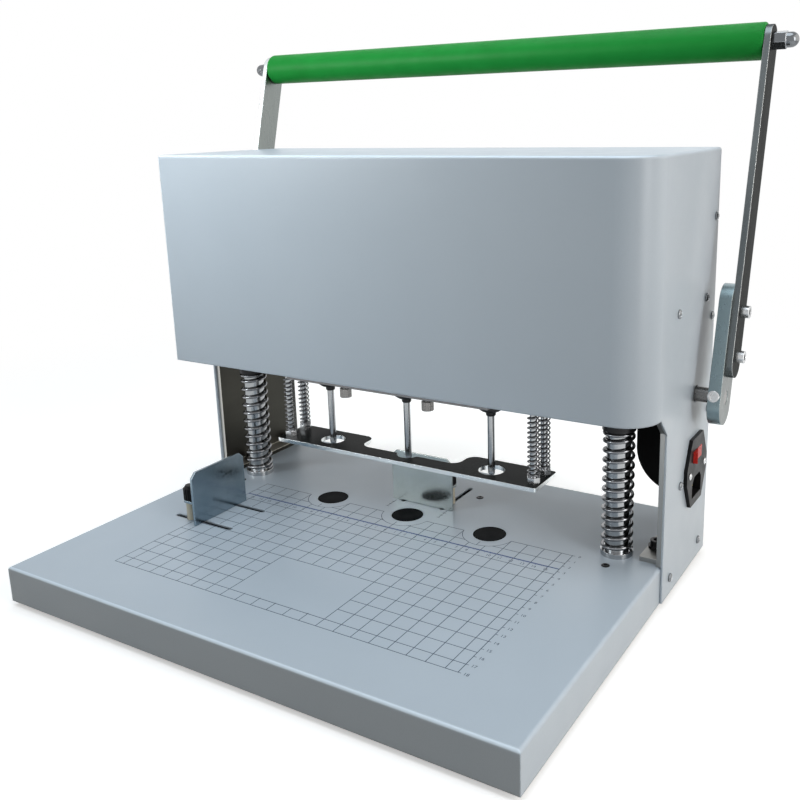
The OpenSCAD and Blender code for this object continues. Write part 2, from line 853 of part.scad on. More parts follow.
module power_inlet() {
    color([0.1, 0.1, 0.11])
    difference() {
        translate([0, inlet_y, inlet_mid]) {
            along_x(cover_w / 2, inlet_t) inlet_outline();
            translate([inlet_in, -inlet_body_w / 2, -inlet_body_h / 2])
                cube([inlet_depth + over, inlet_body_w, inlet_body_h]);
        }
        translate([inlet_out - socket_depth, inlet_y, socket_z])
            along_x(0, socket_depth + over)
                polygon([
                    [-socket_w / 2, -socket_h / 2], [socket_w / 2, -socket_h / 2],
                    [socket_w / 2, socket_h / 2 - 5], [socket_w / 2 - 5, socket_h / 2],
                    [-socket_w / 2 + 5, socket_h / 2], [-socket_w / 2, socket_h / 2 - 5]]);
        translate([inlet_out - switch_depth, inlet_y - switch_w / 2 - 0.5, switch_z - switch_h / 2 - seat_gap])
            cube([switch_depth + over, switch_w + 1, switch_h + 2 * seat_gap]);
        translate([switch_pivot, inlet_y, switch_z - switch_h / 2 - seat_gap - switch_pin_h - hole_gap])
            cylinder(d = switch_pin_d + 2 * run_gap, h = switch_h + 2 * (seat_gap + switch_pin_h + hole_gap));
        for (s = sides)
            translate([0, inlet_y + s * inlet_ear, inlet_mid])
                bar_x(cover_w / 2 - over, inlet_out + over, 3 + 2 * hole_gap);
    }
}

module inlet_pins() {
    pin_pitch = 7;
    pin_h = 11;
    color("goldenrod")
    for (i = [-1, 0, 1])
        translate([inlet_out - socket_depth, inlet_y + i * pin_pitch - 1, socket_z + (i == 0 ? 1.5 : -2.5) - 2])
            cube([pin_h, 2, 4]);
}

module inlet_screws() {
    color("silver")
    for (s = sides)
        translate([inlet_out, inlet_y + s * inlet_ear, inlet_mid])
            rotate([0, 90, 0]) {
                cylinder(d1 = 5.6, d2 = 4, h = 1.6);
                translate([0, 0, -inlet_t - cover_sheet]) cylinder(d = 3, h = inlet_t + cover_sheet + 0.1);
            }
}

// Moulded cover over the back of the switch, with a round lower corner
module wiring_cover() {
    depth = wiring_x;
    color([0.07, 0.07, 0.08])
    difference() {
        translate([frame_in - depth, wiring_front, wiring_z]) wiring_block(depth, 0);
        translate([frame_in - depth, wiring_front, wiring_z]) wiring_block(depth + over, wiring_t);
        translate([inlet_in - hole_gap, inlet_y, inlet_mid]) inlet_cutout(depth);
    }
}

// Block of the wiring cover, set in by a wall on the sides that are walled
module wiring_block(depth, wall) {
    w = wiring_back - wiring_front - 2 * wall;
    h = wiring_top - wiring_z - 2 * wall;
    r = min(wiring_r, depth - 1, wiring_top - wiring_z - 1) - wall;
    translate([wall, wall, wall])
        intersection() {
            cube([depth - wall, w, h]);
            union() {
                translate([0, 0, r]) cube([depth, w, h]);
                translate([r, 0, 0]) cube([depth, w, h]);
                translate([r, 0, r]) rotate([-90, 0, 0]) cylinder(r = r, h = w);
            }
        }
}

// Rocker of the switch, with a pin at each end of its axis
module power_switch() {
    half = switch_w / 2;
    color("red")
    translate([switch_pivot, inlet_y, switch_z])
        rotate([0, 0, switch_angle / 2]) {
            translate([0, 0, -switch_h / 2])
                linear_extrude(switch_h)
                    polygon([
                        [-1.5, -half + 1.2], [1, -half], [4.6, -half + 0.4],
                        [3, 0],
                        [4.6, half - 0.4], [1, half], [-1.5, half - 1.2]]);
            translate([0, 0, -switch_h / 2 - seat_gap - switch_pin_h])
                cylinder(d = switch_pin_d, h = switch_h + 2 * (seat_gap + switch_pin_h));
        }
}

// gauges

// A gauge with its face at x = 0, its flange on the spacers behind it, on the -X side, and its middle at y = 0
module gauge() {
    chamfer = 5;
    half = gauge_w / 2;
    top = gauge_z + gauge_h;
    difference() {
        union() {
            along_x(-gauge_t, gauge_t)
                polygon([
                    [-half, gauge_z], [half, gauge_z], [half, top - chamfer],
                    [half - chamfer, top], [-half + chamfer, top], [-half, top - chamfer]]);
            translate([0, 0, spacer_top]) linear_extrude(gauge_t) gauge_flange();
        }
        for (s = sides)
            translate([-gauge_bolt_back, s * gauge_bolt_pitch / 2, 0])
                cylinder(d = gauge_bolt_d + 2 * hole_gap, h = flange_top + over);
    }
}

// Plan of the flange, rounded like the knobs at its two rear corners
module gauge_flange() {
    w = gauge_bolt_pitch + knob_d;
    translate([-gauge_bolt_back, -w / 2]) square([gauge_bolt_back - gauge_t / 2, w]);
    translate([-gauge_bolt_back - knob_d / 2, -gauge_bolt_pitch / 2]) square([knob_d, gauge_bolt_pitch]);
    for (s = sides)
        translate([-gauge_bolt_back, s * gauge_bolt_pitch / 2]) circle(d = knob_d);
}

module at_side_gauge() {
    translate([-side_gauge_x, side_gauge_y, 0]) children();
}

module at_rear_gauge() {
    translate([0, rear_gauge_y, 0]) rotate([0, 0, -90]) children();
}

// The places of the two bolts of a gauge; k picks one of them
module at_gauge_bolt(k) {
    translate([-gauge_bolt_back, k * gauge_bolt_pitch / 2, 0]) children();
}

module gauge_spacer() {
    translate([0, 0, gauge_z])
        difference() {
            cylinder(d = spacer_d, h = spacer_h);
            translate([0, 0, -over]) cylinder(d = gauge_bolt_d + 2 * hole_gap, h = spacer_h + 2 * over);
        }
}

module gauge_bolt() {
    head_z0 = base_top - base_sheet - seat_gap - gauge_bolt_head_h;
    translate([0, 0, head_z0]) {
        cylinder(d = gauge_bolt_head_d, h = gauge_bolt_head_h);
        cylinder(d = gauge_bolt_d, h = flange_top + knob_h * 0.7 - head_z0);
    }
}

// A knob that turns on the gauge bolt, with a gripping rim
module gauge_knob() {
    flutes = 16;
    translate([0, 0, flange_top + seat_gap])
        difference() {
            union() {
                linear_extrude(knob_h * 0.8)
                    polygon([for (i = [0 : 2 * flutes - 1])
                        let (a = 180 * i / flutes, r = knob_d / 2 - (i % 2) * 0.5)
                        [r * cos(a), r * sin(a)]]);
                translate([0, 0, knob_h * 0.8])
                    cylinder(d1 = knob_d - 1.4, d2 = knob_d - 4, h = knob_h * 0.2 - seat_gap);
            }
            translate([0, 0, -over])
                cylinder(d = gauge_bolt_d + 2 * run_gap, h = knob_h * 0.7 + seat_gap + over);
        }
}

module side_gauge() {
    color("lightgray") at_side_gauge() gauge();
}

module side_gauge_spacers() {
    color("beige") at_side_gauge() for (k = sides) at_gauge_bolt(k) gauge_spacer();
}

module side_gauge_bolts() {
    color("silver") at_side_gauge() for (k = sides) at_gauge_bolt(k) gauge_bolt();
}

module side_knob_front() {
    color([0.08, 0.08, 0.08]) at_side_gauge() at_gauge_bolt(-1) gauge_knob();
}

module side_knob_rear() {
    color([0.08, 0.08, 0.08]) at_side_gauge() at_gauge_bolt(1) gauge_knob();
}

module rear_gauge() {
    color("lightgray") at_rear_gauge() gauge();
}

module rear_gauge_spacers() {
    color("beige") at_rear_gauge() for (k = sides) at_gauge_bolt(k) gauge_spacer();
}

module rear_gauge_bolts() {
    color("silver") at_rear_gauge() for (k = sides) at_gauge_bolt(k) gauge_bolt();
}

module rear_knob_left() {
    color([0.08, 0.08, 0.08]) at_rear_gauge() at_gauge_bolt(-1) gauge_knob();
}

module rear_knob_right() {
    color([0.08, 0.08, 0.08]) at_rear_gauge() at_gauge_bolt(1) gauge_knob();
}

// lever

module pivot_shaft() {
    color("gray") on_lever() bar_x(-arm_x + seat_gap, arm_x - seat_gap, shaft_d);
}

// Half the angle that a tooth takes up at radius r
function tooth_half(r) =
    let (
        base_r = pinion_r * cos(20),
        bend = r <= base_r ? 0 : acos(base_r / r),
        involute_pitch = tan(20) - 20 * PI / 180,
        involute_r = tan(bend) - bend * PI / 180)
    90 / pinion_teeth - backlash / 4 / pinion_r * 180 / PI
        + (involute_pitch - involute_r) * 180 / PI;

// Radii at which a flank of a tooth is drawn, from root to tip
function flank_radii() =
    let (root = pinion_r - 1.25 * gear_m, base_r = pinion_r * cos(20), tip = pinion_r + gear_m)
    [root, base_r, (base_r + pinion_r) / 2, pinion_r, (pinion_r + tip) / 2, tip];

// Outline of a pinion with involute teeth, one of them pointing to -X of the outline
module pinion_outline() {
    radii = flank_radii();
    top = len(radii) - 1;
    polygon([
        for (k = [0 : pinion_teeth - 1])
            let (mid = 180 + 360 * k / pinion_teeth)
            each concat(
                [for (i = [0 : top])
                    let (a = mid - tooth_half(radii[i])) radii[i] * [cos(a), sin(a)]],
                [for (i = [top : -1 : 0])
                    let (a = mid + tooth_half(radii[i])) radii[i] * [cos(a), sin(a)]])]);
}

module lever_pinions() {
    hub_d = shaft_d + 14;
    hub_w = 8;
    color("dimgray")
    for (s = sides)
        translate([0, pivot_y, pivot_z])
            mirror([s < 0 ? 1 : 0, 0, 0])
                difference() {
                    union() {
                        along_x(pinion_x - gear_w / 2, gear_w) pinion_outline();
                        bar_x(pinion_x - gear_w / 2 - hub_w, pinion_x, hub_d);
                    }
                    bar_x(pinion_x - gear_w / 2 - hub_w - over, pinion_x + gear_w, shaft_d + 2 * run_gap);
                }
}

module crank() {
    on_lever()
        difference() {
            along_x(crank_x, crank_t)
                obround(-crank_down + crank_w / 2, crank_up - crank_w / 2, crank_w);
            bar_x(crank_x - over, arm_x + over, shaft_d + 2 * run_gap);
            for (r = crank_bolt_rs)
                translate([0, 0, r]) bar_x(crank_x - over, arm_x + over, crank_bolt_d + 2 * hole_gap);
            translate([crank_x + crank_t / 2, -crank_w / 2 - over, 0])
                rotate([-90, 0, 0]) cylinder(d = 6 + 2 * hole_gap, h = crank_w / 2);
        }
}

module left_crank() {
    color("silver") mirror([1, 0, 0]) crank();
}

module right_crank() {
    color("silver") crank();
}

module arm() {
    on_lever()
        difference() {
            along_x(arm_x, arm_t) obround(arm_low + arm_w / 2, lever_r, arm_w);
            for (r = crank_bolt_rs)
                translate([0, 0, r]) bar_x(arm_x - over, arm_out + over, crank_bolt_d + 2 * hole_gap);
            translate([0, 0, lever_r]) bar_x(arm_x - over, arm_out + over, grip_rod_d + 2 * hole_gap);
        }
}

module left_arm() {
    color("silver") mirror([1, 0, 0]) arm();
}

module right_arm() {
    color("silver") arm();
}

module grip() {
    edge = 2;
    color("green")
    on_lever()
        translate([-grip_end, 0, lever_r])
            rotate([0, 90, 0])
                rotate_extrude()
                    difference() {
                        union() {
                            translate([0, edge]) square([grip_d / 2, 2 * grip_end - 2 * edge]);
                            square([grip_d / 2 - edge, 2 * grip_end]);
                            for (y = [edge, 2 * grip_end - edge])
                                translate([grip_d / 2 - edge, y]) circle(edge);
                        }
                        square([grip_rod_d / 2 + hole_gap, 4 * grip_end], center = false);
                    }
}

module grip_rod() {
    reach = arm_out + grip_nut_h + acorn_h * 0.5;
    color("gray") on_lever() translate([0, 0, lever_r]) bar_x(-reach, reach, grip_rod_d);
}

// The hexagon nut and the domed nut at one end of the grip
module grip_end_nut_pair() {
    dome_r = grip_rod_d * 0.75;
    bore = grip_rod_d + 2 * hole_gap;
    on_lever()
        translate([arm_out, 0, lever_r])
            rotate([0, 90, 0]) {
                hex_nut(grip_rod_d * 1.6, grip_nut_h, bore);
                translate([0, 0, grip_nut_h])
                    difference() {
                        union() {
                            cylinder(d = grip_rod_d * 1.6 / cos(30), h = acorn_h * 0.3, $fn = 6);
                            cylinder(r = dome_r, h = acorn_h - dome_r);
                            translate([0, 0, acorn_h - dome_r]) sphere(dome_r);
                        }
                        translate([0, 0, -over]) cylinder(d = bore, h = acorn_h * 0.5 + hole_gap + over);
                    }
            }
}

module grip_end_nuts() {
    color("silver") {
        grip_end_nut_pair();
        mirror([1, 0, 0]) grip_end_nut_pair();
    }
}

module crank_bolts() {
    color("silver")
    for (s = sides)
        mirror([s < 0 ? 1 : 0, 0, 0])
            on_lever()
                for (r = crank_bolt_rs)
                    translate([arm_out, 0, r])
                        rotate([0, 90, 0]) socket_bolt(crank_bolt_d, 10, 6, arm_t + crank_t);
}

module clamp_screws() {
    tip = shaft_d / 2 + hole_gap;
    color("silver")
    for (s = sides)
        mirror([s < 0 ? 1 : 0, 0, 0])
            on_lever()
                translate([crank_x + crank_t / 2, -crank_w / 2, 0])
                    rotate([90, 0, 0])
                        socket_bolt(6, 9, 4, crank_w / 2 - tip);
}

// head

// Bores for the rods, bushes and hand screws, cut into a plate of the head
module head_bores() {
    h = head_top + over;
    for (s = sides) {
        translate([s * column_x, column_y, 0]) cylinder(d = bush_d + 2 * hole_gap, h = h);
        for (y = rod_ys)
            translate([s * rod_x, y, 0]) cylinder(d = rod_d + 2 * run_gap, h = h);
        translate([s * knurl_x, knurl_y, 0]) cylinder(d = knurl_stud_d + 2 * hole_gap, h = h);
    }
}

module head_plate() {
    color("dimgray")
    difference() {
        translate([-head_w / 2, head_front, head_z]) cube([head_w, head_plate_d, head_plate_t]);
        head_bores();
        for (x = drill_xs)
            translate([x, spindle_y, 0]) cylinder(d = motor_d + 2, h = cover_top);
    }
}

module motor_plate() {
    color("dimgray")
    difference() {
        translate([-motor_plate_w / 2, head_front, motor_plate_z])
            cube([motor_plate_w, head_plate_d, motor_plate_t]);
        head_bores();
        for (x = drill_xs)
            translate([x, spindle_y, 0]) cylinder(d = nose_d + 2 * hole_gap, h = cover_top);
    }
}

module guide_bushes() {
    color("darkgoldenrod")
    for (s = sides)
        translate([s * column_x, column_y, bush_z])
            difference() {
                union() {
                    cylinder(d = bush_flange_d, h = bush_flange_h);
                    cylinder(d = bush_d, h = bush_top - bush_z);
                }
                translate([0, 0, -over]) cylinder(d = column_d + 2 * run_gap, h = bush_top - bush_z + 2 * over);
            }
}

// Outline of a rack in Y and Z, with a gap between two teeth level with the pivot
module rack_outline() {
    pitch = PI * gear_m;
    root_y = rack_pitch_y - 1.25 * gear_m;
    half = pitch / 4 - backlash / 4;
    below = 3;
    above = ceil(stroke / pitch) + 2;
    translate([head_back, pivot_z - below * pitch])
        square([root_y - head_back, (below + above) * pitch]);
    for (k = [-below : above - 1])
        translate([0, pivot_z + (k + 0.5) * pitch])
            polygon([
                [root_y - over, -half - 1.25 * gear_m * tan(20)],
                [root_y, -half - 1.25 * gear_m * tan(20)],
                [rack_pitch_y + gear_m, -half + gear_m * tan(20)],
                [rack_pitch_y + gear_m, half - gear_m * tan(20)],
                [root_y, half + 1.25 * gear_m * tan(20)],
                [root_y - over, half + 1.25 * gear_m * tan(20)]]);
}

module head_racks() {
    color("gray")
    for (s = sides)
        along_x(s * pinion_x - gear_w / 2, gear_w) rack_outline();
}

module head_hand_screws() {
    flutes = 20;
    color("silver")
    for (s = sides)
        translate([s * knurl_x, knurl_y, motor_plate_z - knurl_stem - knurl_h]) {
            linear_extrude(knurl_h)
                polygon([for (i = [0 : 2 * flutes - 1])
                    let (a = 180 * i / flutes, r = knurl_d / 2 - (i % 2) * 0.35)
                    [r * cos(a), r * sin(a)]]);
            cylinder(d = knurl_stud_d, h = knurl_h + knurl_stem + motor_plate_t + head_plate_t);
        }
}

module drill_motors() {
    shank_d = 5;
    color([0.12, 0.12, 0.13])
    for (x = drill_xs)
        translate([x, spindle_y, 0])
            difference() {
                union() {
                    translate([0, 0, head_z]) cylinder(d = motor_d, h = motor_h);
                    translate([0, 0, head_z + motor_h]) cylinder(d = motor_d * 0.4, h = 6);
                    translate([0, 0, nose_z + 2]) cylinder(d = nose_d, h = head_z - nose_z);
                    translate([0, 0, nose_z]) cylinder(d1 = nose_d - 5, d2 = nose_d, h = 2);
                }
                translate([0, 0, nose_z - over]) cylinder(d = shank_d + 2 * run_gap, h = 16 + over);
            }
}

// drills

// A collet with its shank in the motor nose
module collet(x) {
    shank_d = 5;
    translate([x, spindle_y, collet_z])
        difference() {
            union() {
                cylinder(d1 = collet_d - 1, d2 = collet_d, h = 1);
                translate([0, 0, 1]) cylinder(d = collet_d, h = collet_h - 1);
                translate([0, 0, collet_h - 0.1]) cylinder(d = shank_d, h = 15);
            }
            translate([0, 0, -over]) cylinder(d = bit_d + 2 * hole_gap, h = collet_h * 0.7 + over);
        }
}

// A hollow bit, ground to an edge at its tip
module bit(x) {
    edge = 1.6;
    translate([x, spindle_y, bit_tip])
        difference() {
            union() {
                cylinder(d1 = bit_bore + 0.2, d2 = bit_d, h = edge);
                translate([0, 0, edge]) cylinder(d = bit_d, h = collet_z + collet_h * 0.7 - bit_tip - edge);
            }
            translate([0, 0, -over]) cylinder(d = bit_bore, h = 30 + over);
        }
}

module left_collet() {
    color([0.1, 0.1, 0.1]) collet(-drill_pitch);
}

module centre_collet() {
    color([0.1, 0.1, 0.1]) collet(0);
}

module right_collet() {
    color([0.1, 0.1, 0.1]) collet(drill_pitch);
}

module left_bit() {
    color("silver") bit(-drill_pitch);
}

module centre_bit() {
    color("silver") bit(0);
}

module right_bit() {
    color("silver") bit(drill_pitch);
}

// presser

// Plan of the presser plate: a bar with two lobes behind it
module presser_plan() {
    front = spindle_y - presser_front;
    bar_back = front + presser_bar;
    lobe_back = front + presser_d;
    lobe_in = presser_gap / 2;
    end = presser_w / 2;
    r = 9;
    translate([-end + 3, front]) square([presser_w - 6, presser_bar]);
    translate([-end, front + 3]) square([presser_w, presser_bar - 3]);
    for (s = sides) {
        translate([s * (end - 3), front + 3]) circle(3);
        mirror([s < 0 ? 1 : 0, 0]) {
            translate([lobe_in + r, front + 1]) square([end - lobe_in - r - 3, presser_d - 1]);
            translate([lobe_in, front + 1]) square([end - lobe_in, presser_d - 1 - r]);
            translate([lobe_in + r, lobe_back - r]) circle(r);
            translate([end - 3, lobe_back - 3]) circle(3);
            translate([end - 20, front + 1]) square([20, presser_d - 4]);
            difference() {
                translate([lobe_in - r, bar_back - 1]) square([r + 1, r + 1]);
                translate([lobe_in - r, bar_back + r]) circle(r);
            }
        }
    }
}

module presser_plate() {
    color("silver")
    difference() {
        translate([0, 0, presser_z]) linear_extrude(presser_t) presser_plan();
        for (x = drill_xs)
            translate([x, spindle_y, presser_z - over])
                cylinder(d = x == 0 ? nose_d - 1 : presser_hole, h = presser_t + 2 * over);
        for (s = sides, y = rod_ys)
            translate([s * rod_x, y, presser_z - over])
                cylinder(d = rod_d + 2 * hole_gap, h = presser_t + 2 * over);
    }
}

module presser_rods() {
    color("silver")
    for (s = sides, y = rod_ys)
        translate([s * rod_x, y, presser_z]) cylinder(d = rod_d, h = rod_top - presser_z);
}

module presser_nuts() {
    color("silver")
    for (s = sides, y = rod_ys, z = [presser_top, head_top + seat_gap])
        translate([s * rod_x, y, z]) hex_nut(rod_nut_af, rod_nut_h, rod_d + 2 * hole_gap);
}

module presser_springs() {
    color("silver")
    for (s = sides, y = rod_ys)
        translate([s * rod_x, y, rod_spring_z])
            spring(rod_spring_d / 2, rod_wire, rod_spring_h, rod_curls);
}

echo(column_spring_gap = spring_gap(
    spring_path(column_spring_d / 2, column_wire, column_spring_h, column_curls), column_wire));
echo(presser_spring_gap = spring_gap(
    spring_path(rod_spring_d / 2, rod_wire, rod_spring_h, rod_curls), rod_wire));
echo(lever_swing_degrees = lever_swing);

base_pan();
bed_plate();
rubber_feet();
cutting_pads();
left_side_frame();
right_side_frame();
frame_foot_bolts();
head_cover();
rear_panel();
cover_screws();
left_column();
right_column();
column_collars();
column_nuts();
left_column_spring();
right_column_spring();
top_beam();
shaft_bushes();
power_inlet();
inlet_pins();
inlet_screws();
wiring_cover();
power_switch();
side_gauge();
side_gauge_spacers();
side_gauge_bolts();
side_knob_front();
side_knob_rear();
rear_gauge();
rear_gauge_spacers();
rear_gauge_bolts();
rear_knob_left();
rear_knob_right();
pivot_shaft();
lever_pinions();
left_crank();
right_crank();
left_arm();
right_arm();
grip();
grip_rod();
grip_end_nuts();
crank_bolts();
clamp_screws();
head_plate();
motor_plate();
guide_bushes();
head_racks();
head_hand_screws();
drill_motors();
left_collet();
centre_collet();
right_collet();
left_bit();
centre_bit();
right_bit();
presser_plate();
presser_rods();
presser_nuts();
presser_springs();
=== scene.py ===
import math

import bmesh
import bpy
from mathutils import Matrix, Vector


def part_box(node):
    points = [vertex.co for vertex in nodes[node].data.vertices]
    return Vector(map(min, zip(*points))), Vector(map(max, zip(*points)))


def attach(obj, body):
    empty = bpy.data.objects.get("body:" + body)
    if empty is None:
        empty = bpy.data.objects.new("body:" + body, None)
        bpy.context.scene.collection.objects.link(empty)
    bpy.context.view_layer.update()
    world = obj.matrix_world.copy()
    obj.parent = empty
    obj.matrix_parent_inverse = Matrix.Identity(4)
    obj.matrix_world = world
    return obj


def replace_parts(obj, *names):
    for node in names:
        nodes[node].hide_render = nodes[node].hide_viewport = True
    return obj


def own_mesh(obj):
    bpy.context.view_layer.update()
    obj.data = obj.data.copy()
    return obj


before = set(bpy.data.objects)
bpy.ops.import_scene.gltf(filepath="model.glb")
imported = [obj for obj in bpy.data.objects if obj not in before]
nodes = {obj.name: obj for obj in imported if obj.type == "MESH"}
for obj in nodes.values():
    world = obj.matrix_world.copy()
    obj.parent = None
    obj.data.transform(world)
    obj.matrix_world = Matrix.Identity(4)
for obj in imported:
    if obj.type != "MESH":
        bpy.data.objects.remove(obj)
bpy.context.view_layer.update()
scene = bpy.context.scene
MM = 0.001

# Sizes shared with the part's source, in millimetres
BASE_TOP = 33.5
DRILL_Y = 32.1
DRILL_PITCH = 82.5
COLUMN_X, COLUMN_Y = 188.0, DRILL_Y + 18.0
ROD_X, ROD_Y, ROD_HALF_PITCH = 124.8, DRILL_Y + 7.0, 10.0


# Materials

class Graph:
    """A node tree with short ways to add nodes and join them."""

    def __init__(self, tree):
        self.tree = tree

    def node(self, kind, **values):
        node = self.tree.nodes.new(kind)
        for key, value in values.items():
            setattr(node, key, value)
        return node

    def link(self, a, b):
        self.tree.links.new(a, b)

    def feed(self, socket, value):
        """Give a socket a number, a colour or a link."""
        if isinstance(value, tuple):
            socket.default_value = (*value, 1.0)
        elif isinstance(value, float):
            socket.default_value = value
        else:
            self.link(value, socket)

    def calc(self, operation, a, b=0.0):
        node = self.node("ShaderNodeMath", operation=operation)
        self.feed(node.inputs[0], a)
        self.feed(node.inputs[1], b)
        return node.outputs["Value"]

    def split(self, vector):
        node = self.node("ShaderNodeSeparateXYZ")
        self.link(vector, node.inputs["Vector"])
        return node.outputs

    def ramp(self, value, stops):
        ramp = self.node("ShaderNodeValToRGB")
        for point, (at, rgb) in zip(ramp.color_ramp.elements, stops):
            point.position = at
            point.color = (*rgb, 1.0)
        self.link(value, ramp.inputs["Fac"])
        return ramp.outputs["Color"]

    def span(self, value, low, high, source=(0.3, 0.7), kind="LINEAR"):
        """Map the source range of a value to low and high."""
        span = self.node("ShaderNodeMapRange", interpolation_type=kind)
        for key, number in zip(("From Min", "From Max", "To Min", "To Max"), (*source, low, high)):
            span.inputs[key].default_value = number
        self.link(value, span.inputs["Value"])
        return span.outputs["Result"]

    def blend(self, factor, a, b):
        """Mix two shaders."""
        node = self.node("ShaderNodeMixShader")
        for socket, value in zip(node.inputs, (factor, a, b)):
            self.link(value, socket)
        return node.outputs["Shader"]

    def shown(self):
        """1 for what the camera sees, straight or by way of metal and glass."""
        path = self.node("ShaderNodeLightPath").outputs
        mirrored = self.calc("MAXIMUM", path["Is Glossy Ray"], path["Is Transmission Ray"])
        return self.calc("MAXIMUM", path["Is Camera Ray"], mirrored)


class Shade(Graph):
    """A principled material with helpers for procedural detail in object space."""

    def __init__(self, name):
        self.mat = bpy.data.materials.new(name)
        self.mat.use_nodes = True
        super().__init__(self.mat.node_tree)
        self.shader = self.tree.nodes["Principled BSDF"]

    def coords(self, stretch=(1, 1, 1)):
        source = self.node("ShaderNodeTexCoord")
        mapping = self.node("ShaderNodeMapping")
        mapping.inputs["Scale"].default_value = stretch
        self.link(source.outputs["Object"], mapping.inputs["Vector"])
        return mapping.outputs["Vector"]

    def noise(self, scale, detail=3.0, stretch=(1, 1, 1), rough=0.5):
        tex = self.node("ShaderNodeTexNoise")
        tex.inputs["Scale"].default_value = scale
        tex.inputs["Detail"].default_value = detail
        tex.inputs["Roughness"].default_value = rough
        self.link(self.coords(stretch), tex.inputs["Vector"])
        return tex.outputs["Fac"]

    def mix(self, factor, a, b):
        mix = self.node("ShaderNodeMix", data_type="RGBA")
        for socket, value in zip((mix.inputs[0], mix.inputs[6], mix.inputs[7]), (factor, a, b)):
            self.feed(socket, value)
        return mix.outputs[2]

    def rounded(self, radius):
        bevel = self.node("ShaderNodeBevel", samples=4)
        bevel.inputs["Radius"].default_value = radius
        return bevel.outputs["Normal"]

    def edges(self, radius, strength):
        """Greatest near sharp edges, 0 on open faces."""
        dot = self.node("ShaderNodeVectorMath", operation="DOT_PRODUCT")
        self.link(self.rounded(radius), dot.inputs[0])
        self.link(self.node("ShaderNodeNewGeometry").outputs["Normal"], dot.inputs[1])
        return self.span(dot.outputs["Value"], strength, 0.0, (0.75, 0.995))

    def facing(self):
        """The parts of the normal in object space."""
        return self.split(self.node("ShaderNodeTexCoord").outputs["Normal"])

    def flat_sides(self):
        """1 on faces across X, 0 on the sheared edges round them, which are given a painted highlight."""
        return self.span(self.calc("ABSOLUTE", self.facing()["X"]), 0.0, 1.0, (0.6, 0.8))

    def fold_highlight(self, strength):
        """Painted highlight mask: greatest along a rounded fold between a top and a front, 0 on open faces."""
        normal = self.facing()
        return self.span(self.calc("MULTIPLY", normal["Y"], normal["Z"]), strength, 0.0, (-0.45, -0.20))

    def bump(self, height, strength, distance, normal=None):
        bump = self.node("ShaderNodeBump")
        bump.inputs["Strength"].default_value = strength
        bump.inputs["Distance"].default_value = distance
        self.link(height, bump.inputs["Height"])
        if normal is not None:
            self.link(normal, bump.inputs["Normal"])
        self.link(bump.outputs["Normal"], self.shader.inputs["Normal"])

    def set(self, socket, value):
        self.feed(self.shader.inputs[socket], value)


def powder_coat(name, low, high, rough):
    s = Shade(name)
    cloud = s.ramp(s.noise(9.0, 4.0), [(0.3, low), (0.7, high)])
    speck = s.span(s.noise(2600.0, 2.0), 0.0, 0.10, (0.45, 0.75))
    # The fold along the front and the sharp edges are mixed towards pale: a painted highlight where the lamps would
    # glint.
    pale = tuple(min(1.0, c * 1.7) for c in high)
    colour = s.mix(s.fold_highlight(0.9), s.mix(speck, cloud, pale), pale)
    s.set("Base Color", s.mix(s.edges(0.0016, 0.85), colour, pale))
    s.set("Roughness", s.span(s.noise(40.0, 3.0), rough - 0.05, rough + 0.05))
    s.set("Specular IOR Level", 0.4)
    s.bump(s.noise(750.0, 3.0), 0.10, 0.00012, s.rounded(0.0018))
    return s.mat


def plated(name, low, high, rough, stretch=(1, 1, 1), grain=500.0, strength=0.05, radius=0.0006, edge=0.6,
           edge_highlight=1.3, rim=1.0, sheared_edge_highlight=None):
    """Bare or plated metal: soft clouds, drawn lines, sharp edges lightened as a painted highlight and, in a sheared
    strip, its edges given their own lighter colour as a painted highlight.
    """
    s = Shade(name)
    cloud = s.ramp(s.noise(22.0, 4.0, stretch), [(0.3, low), (0.7, high)])
    # The edges round the flat sides take their own lighter colour: a painted highlight.
    if sheared_edge_highlight:
        cloud = s.mix(s.flat_sides(), sheared_edge_highlight, cloud)
    # Sharp edges are mixed towards a lighter colour: a painted highlight.
    pale = tuple(min(1.0, c * edge_highlight) for c in high)
    s.set("Base Color", s.mix(s.edges(radius * 1.5, edge), cloud, pale))
    s.set("Metallic", 1.0)
    s.set("Specular Tint", (rim, rim, rim))
    drawn = s.noise(grain, 3.0, stretch)
    s.set("Roughness", s.span(drawn, rough - 0.05, rough + 0.05))
    s.bump(drawn, strength, 0.00006, s.rounded(radius))
    return s.mat


def dark_top_bright_edge_plate(name, dark, edge_low, edge_high, rough):
    """Plate whose upward faces are painted near black, a painted dark reflection, and whose edges are painted bright,
    a painted highlight.
    """
    s = Shade(name)
    normal = s.split(s.node("ShaderNodeNewGeometry").outputs["Normal"])
    # Faces turned up get the dark colour, a painted dark reflection; the other faces and the edges get a painted
    # highlight.
    upward = s.span(normal["Z"], 0.0, 1.0, (0.80, 0.97))
    bright_edge_colour = s.ramp(s.noise(40.0, 4.0), [(0.3, edge_low), (0.7, edge_high)])
    dark_top_colour = s.ramp(s.noise(60.0, 4.0), [(0.3, dark), (0.7, tuple(c * 1.6 for c in dark))])
    face = s.mix(upward, bright_edge_colour, dark_top_colour)
    s.set("Base Color", s.mix(s.edges(0.0006, 0.7), face, edge_high))
    s.set("Metallic", s.span(upward, 1.0, 0.0, (0.0, 1.0)))
    s.set("Specular IOR Level", 0.02)
    s.set("Roughness", s.span(s.noise(300.0, 3.0), rough - 0.05, rough + 0.05))
    s.bump(s.noise(700.0, 3.0), 0.04, 0.00006, s.rounded(0.0004))
    return s.mat


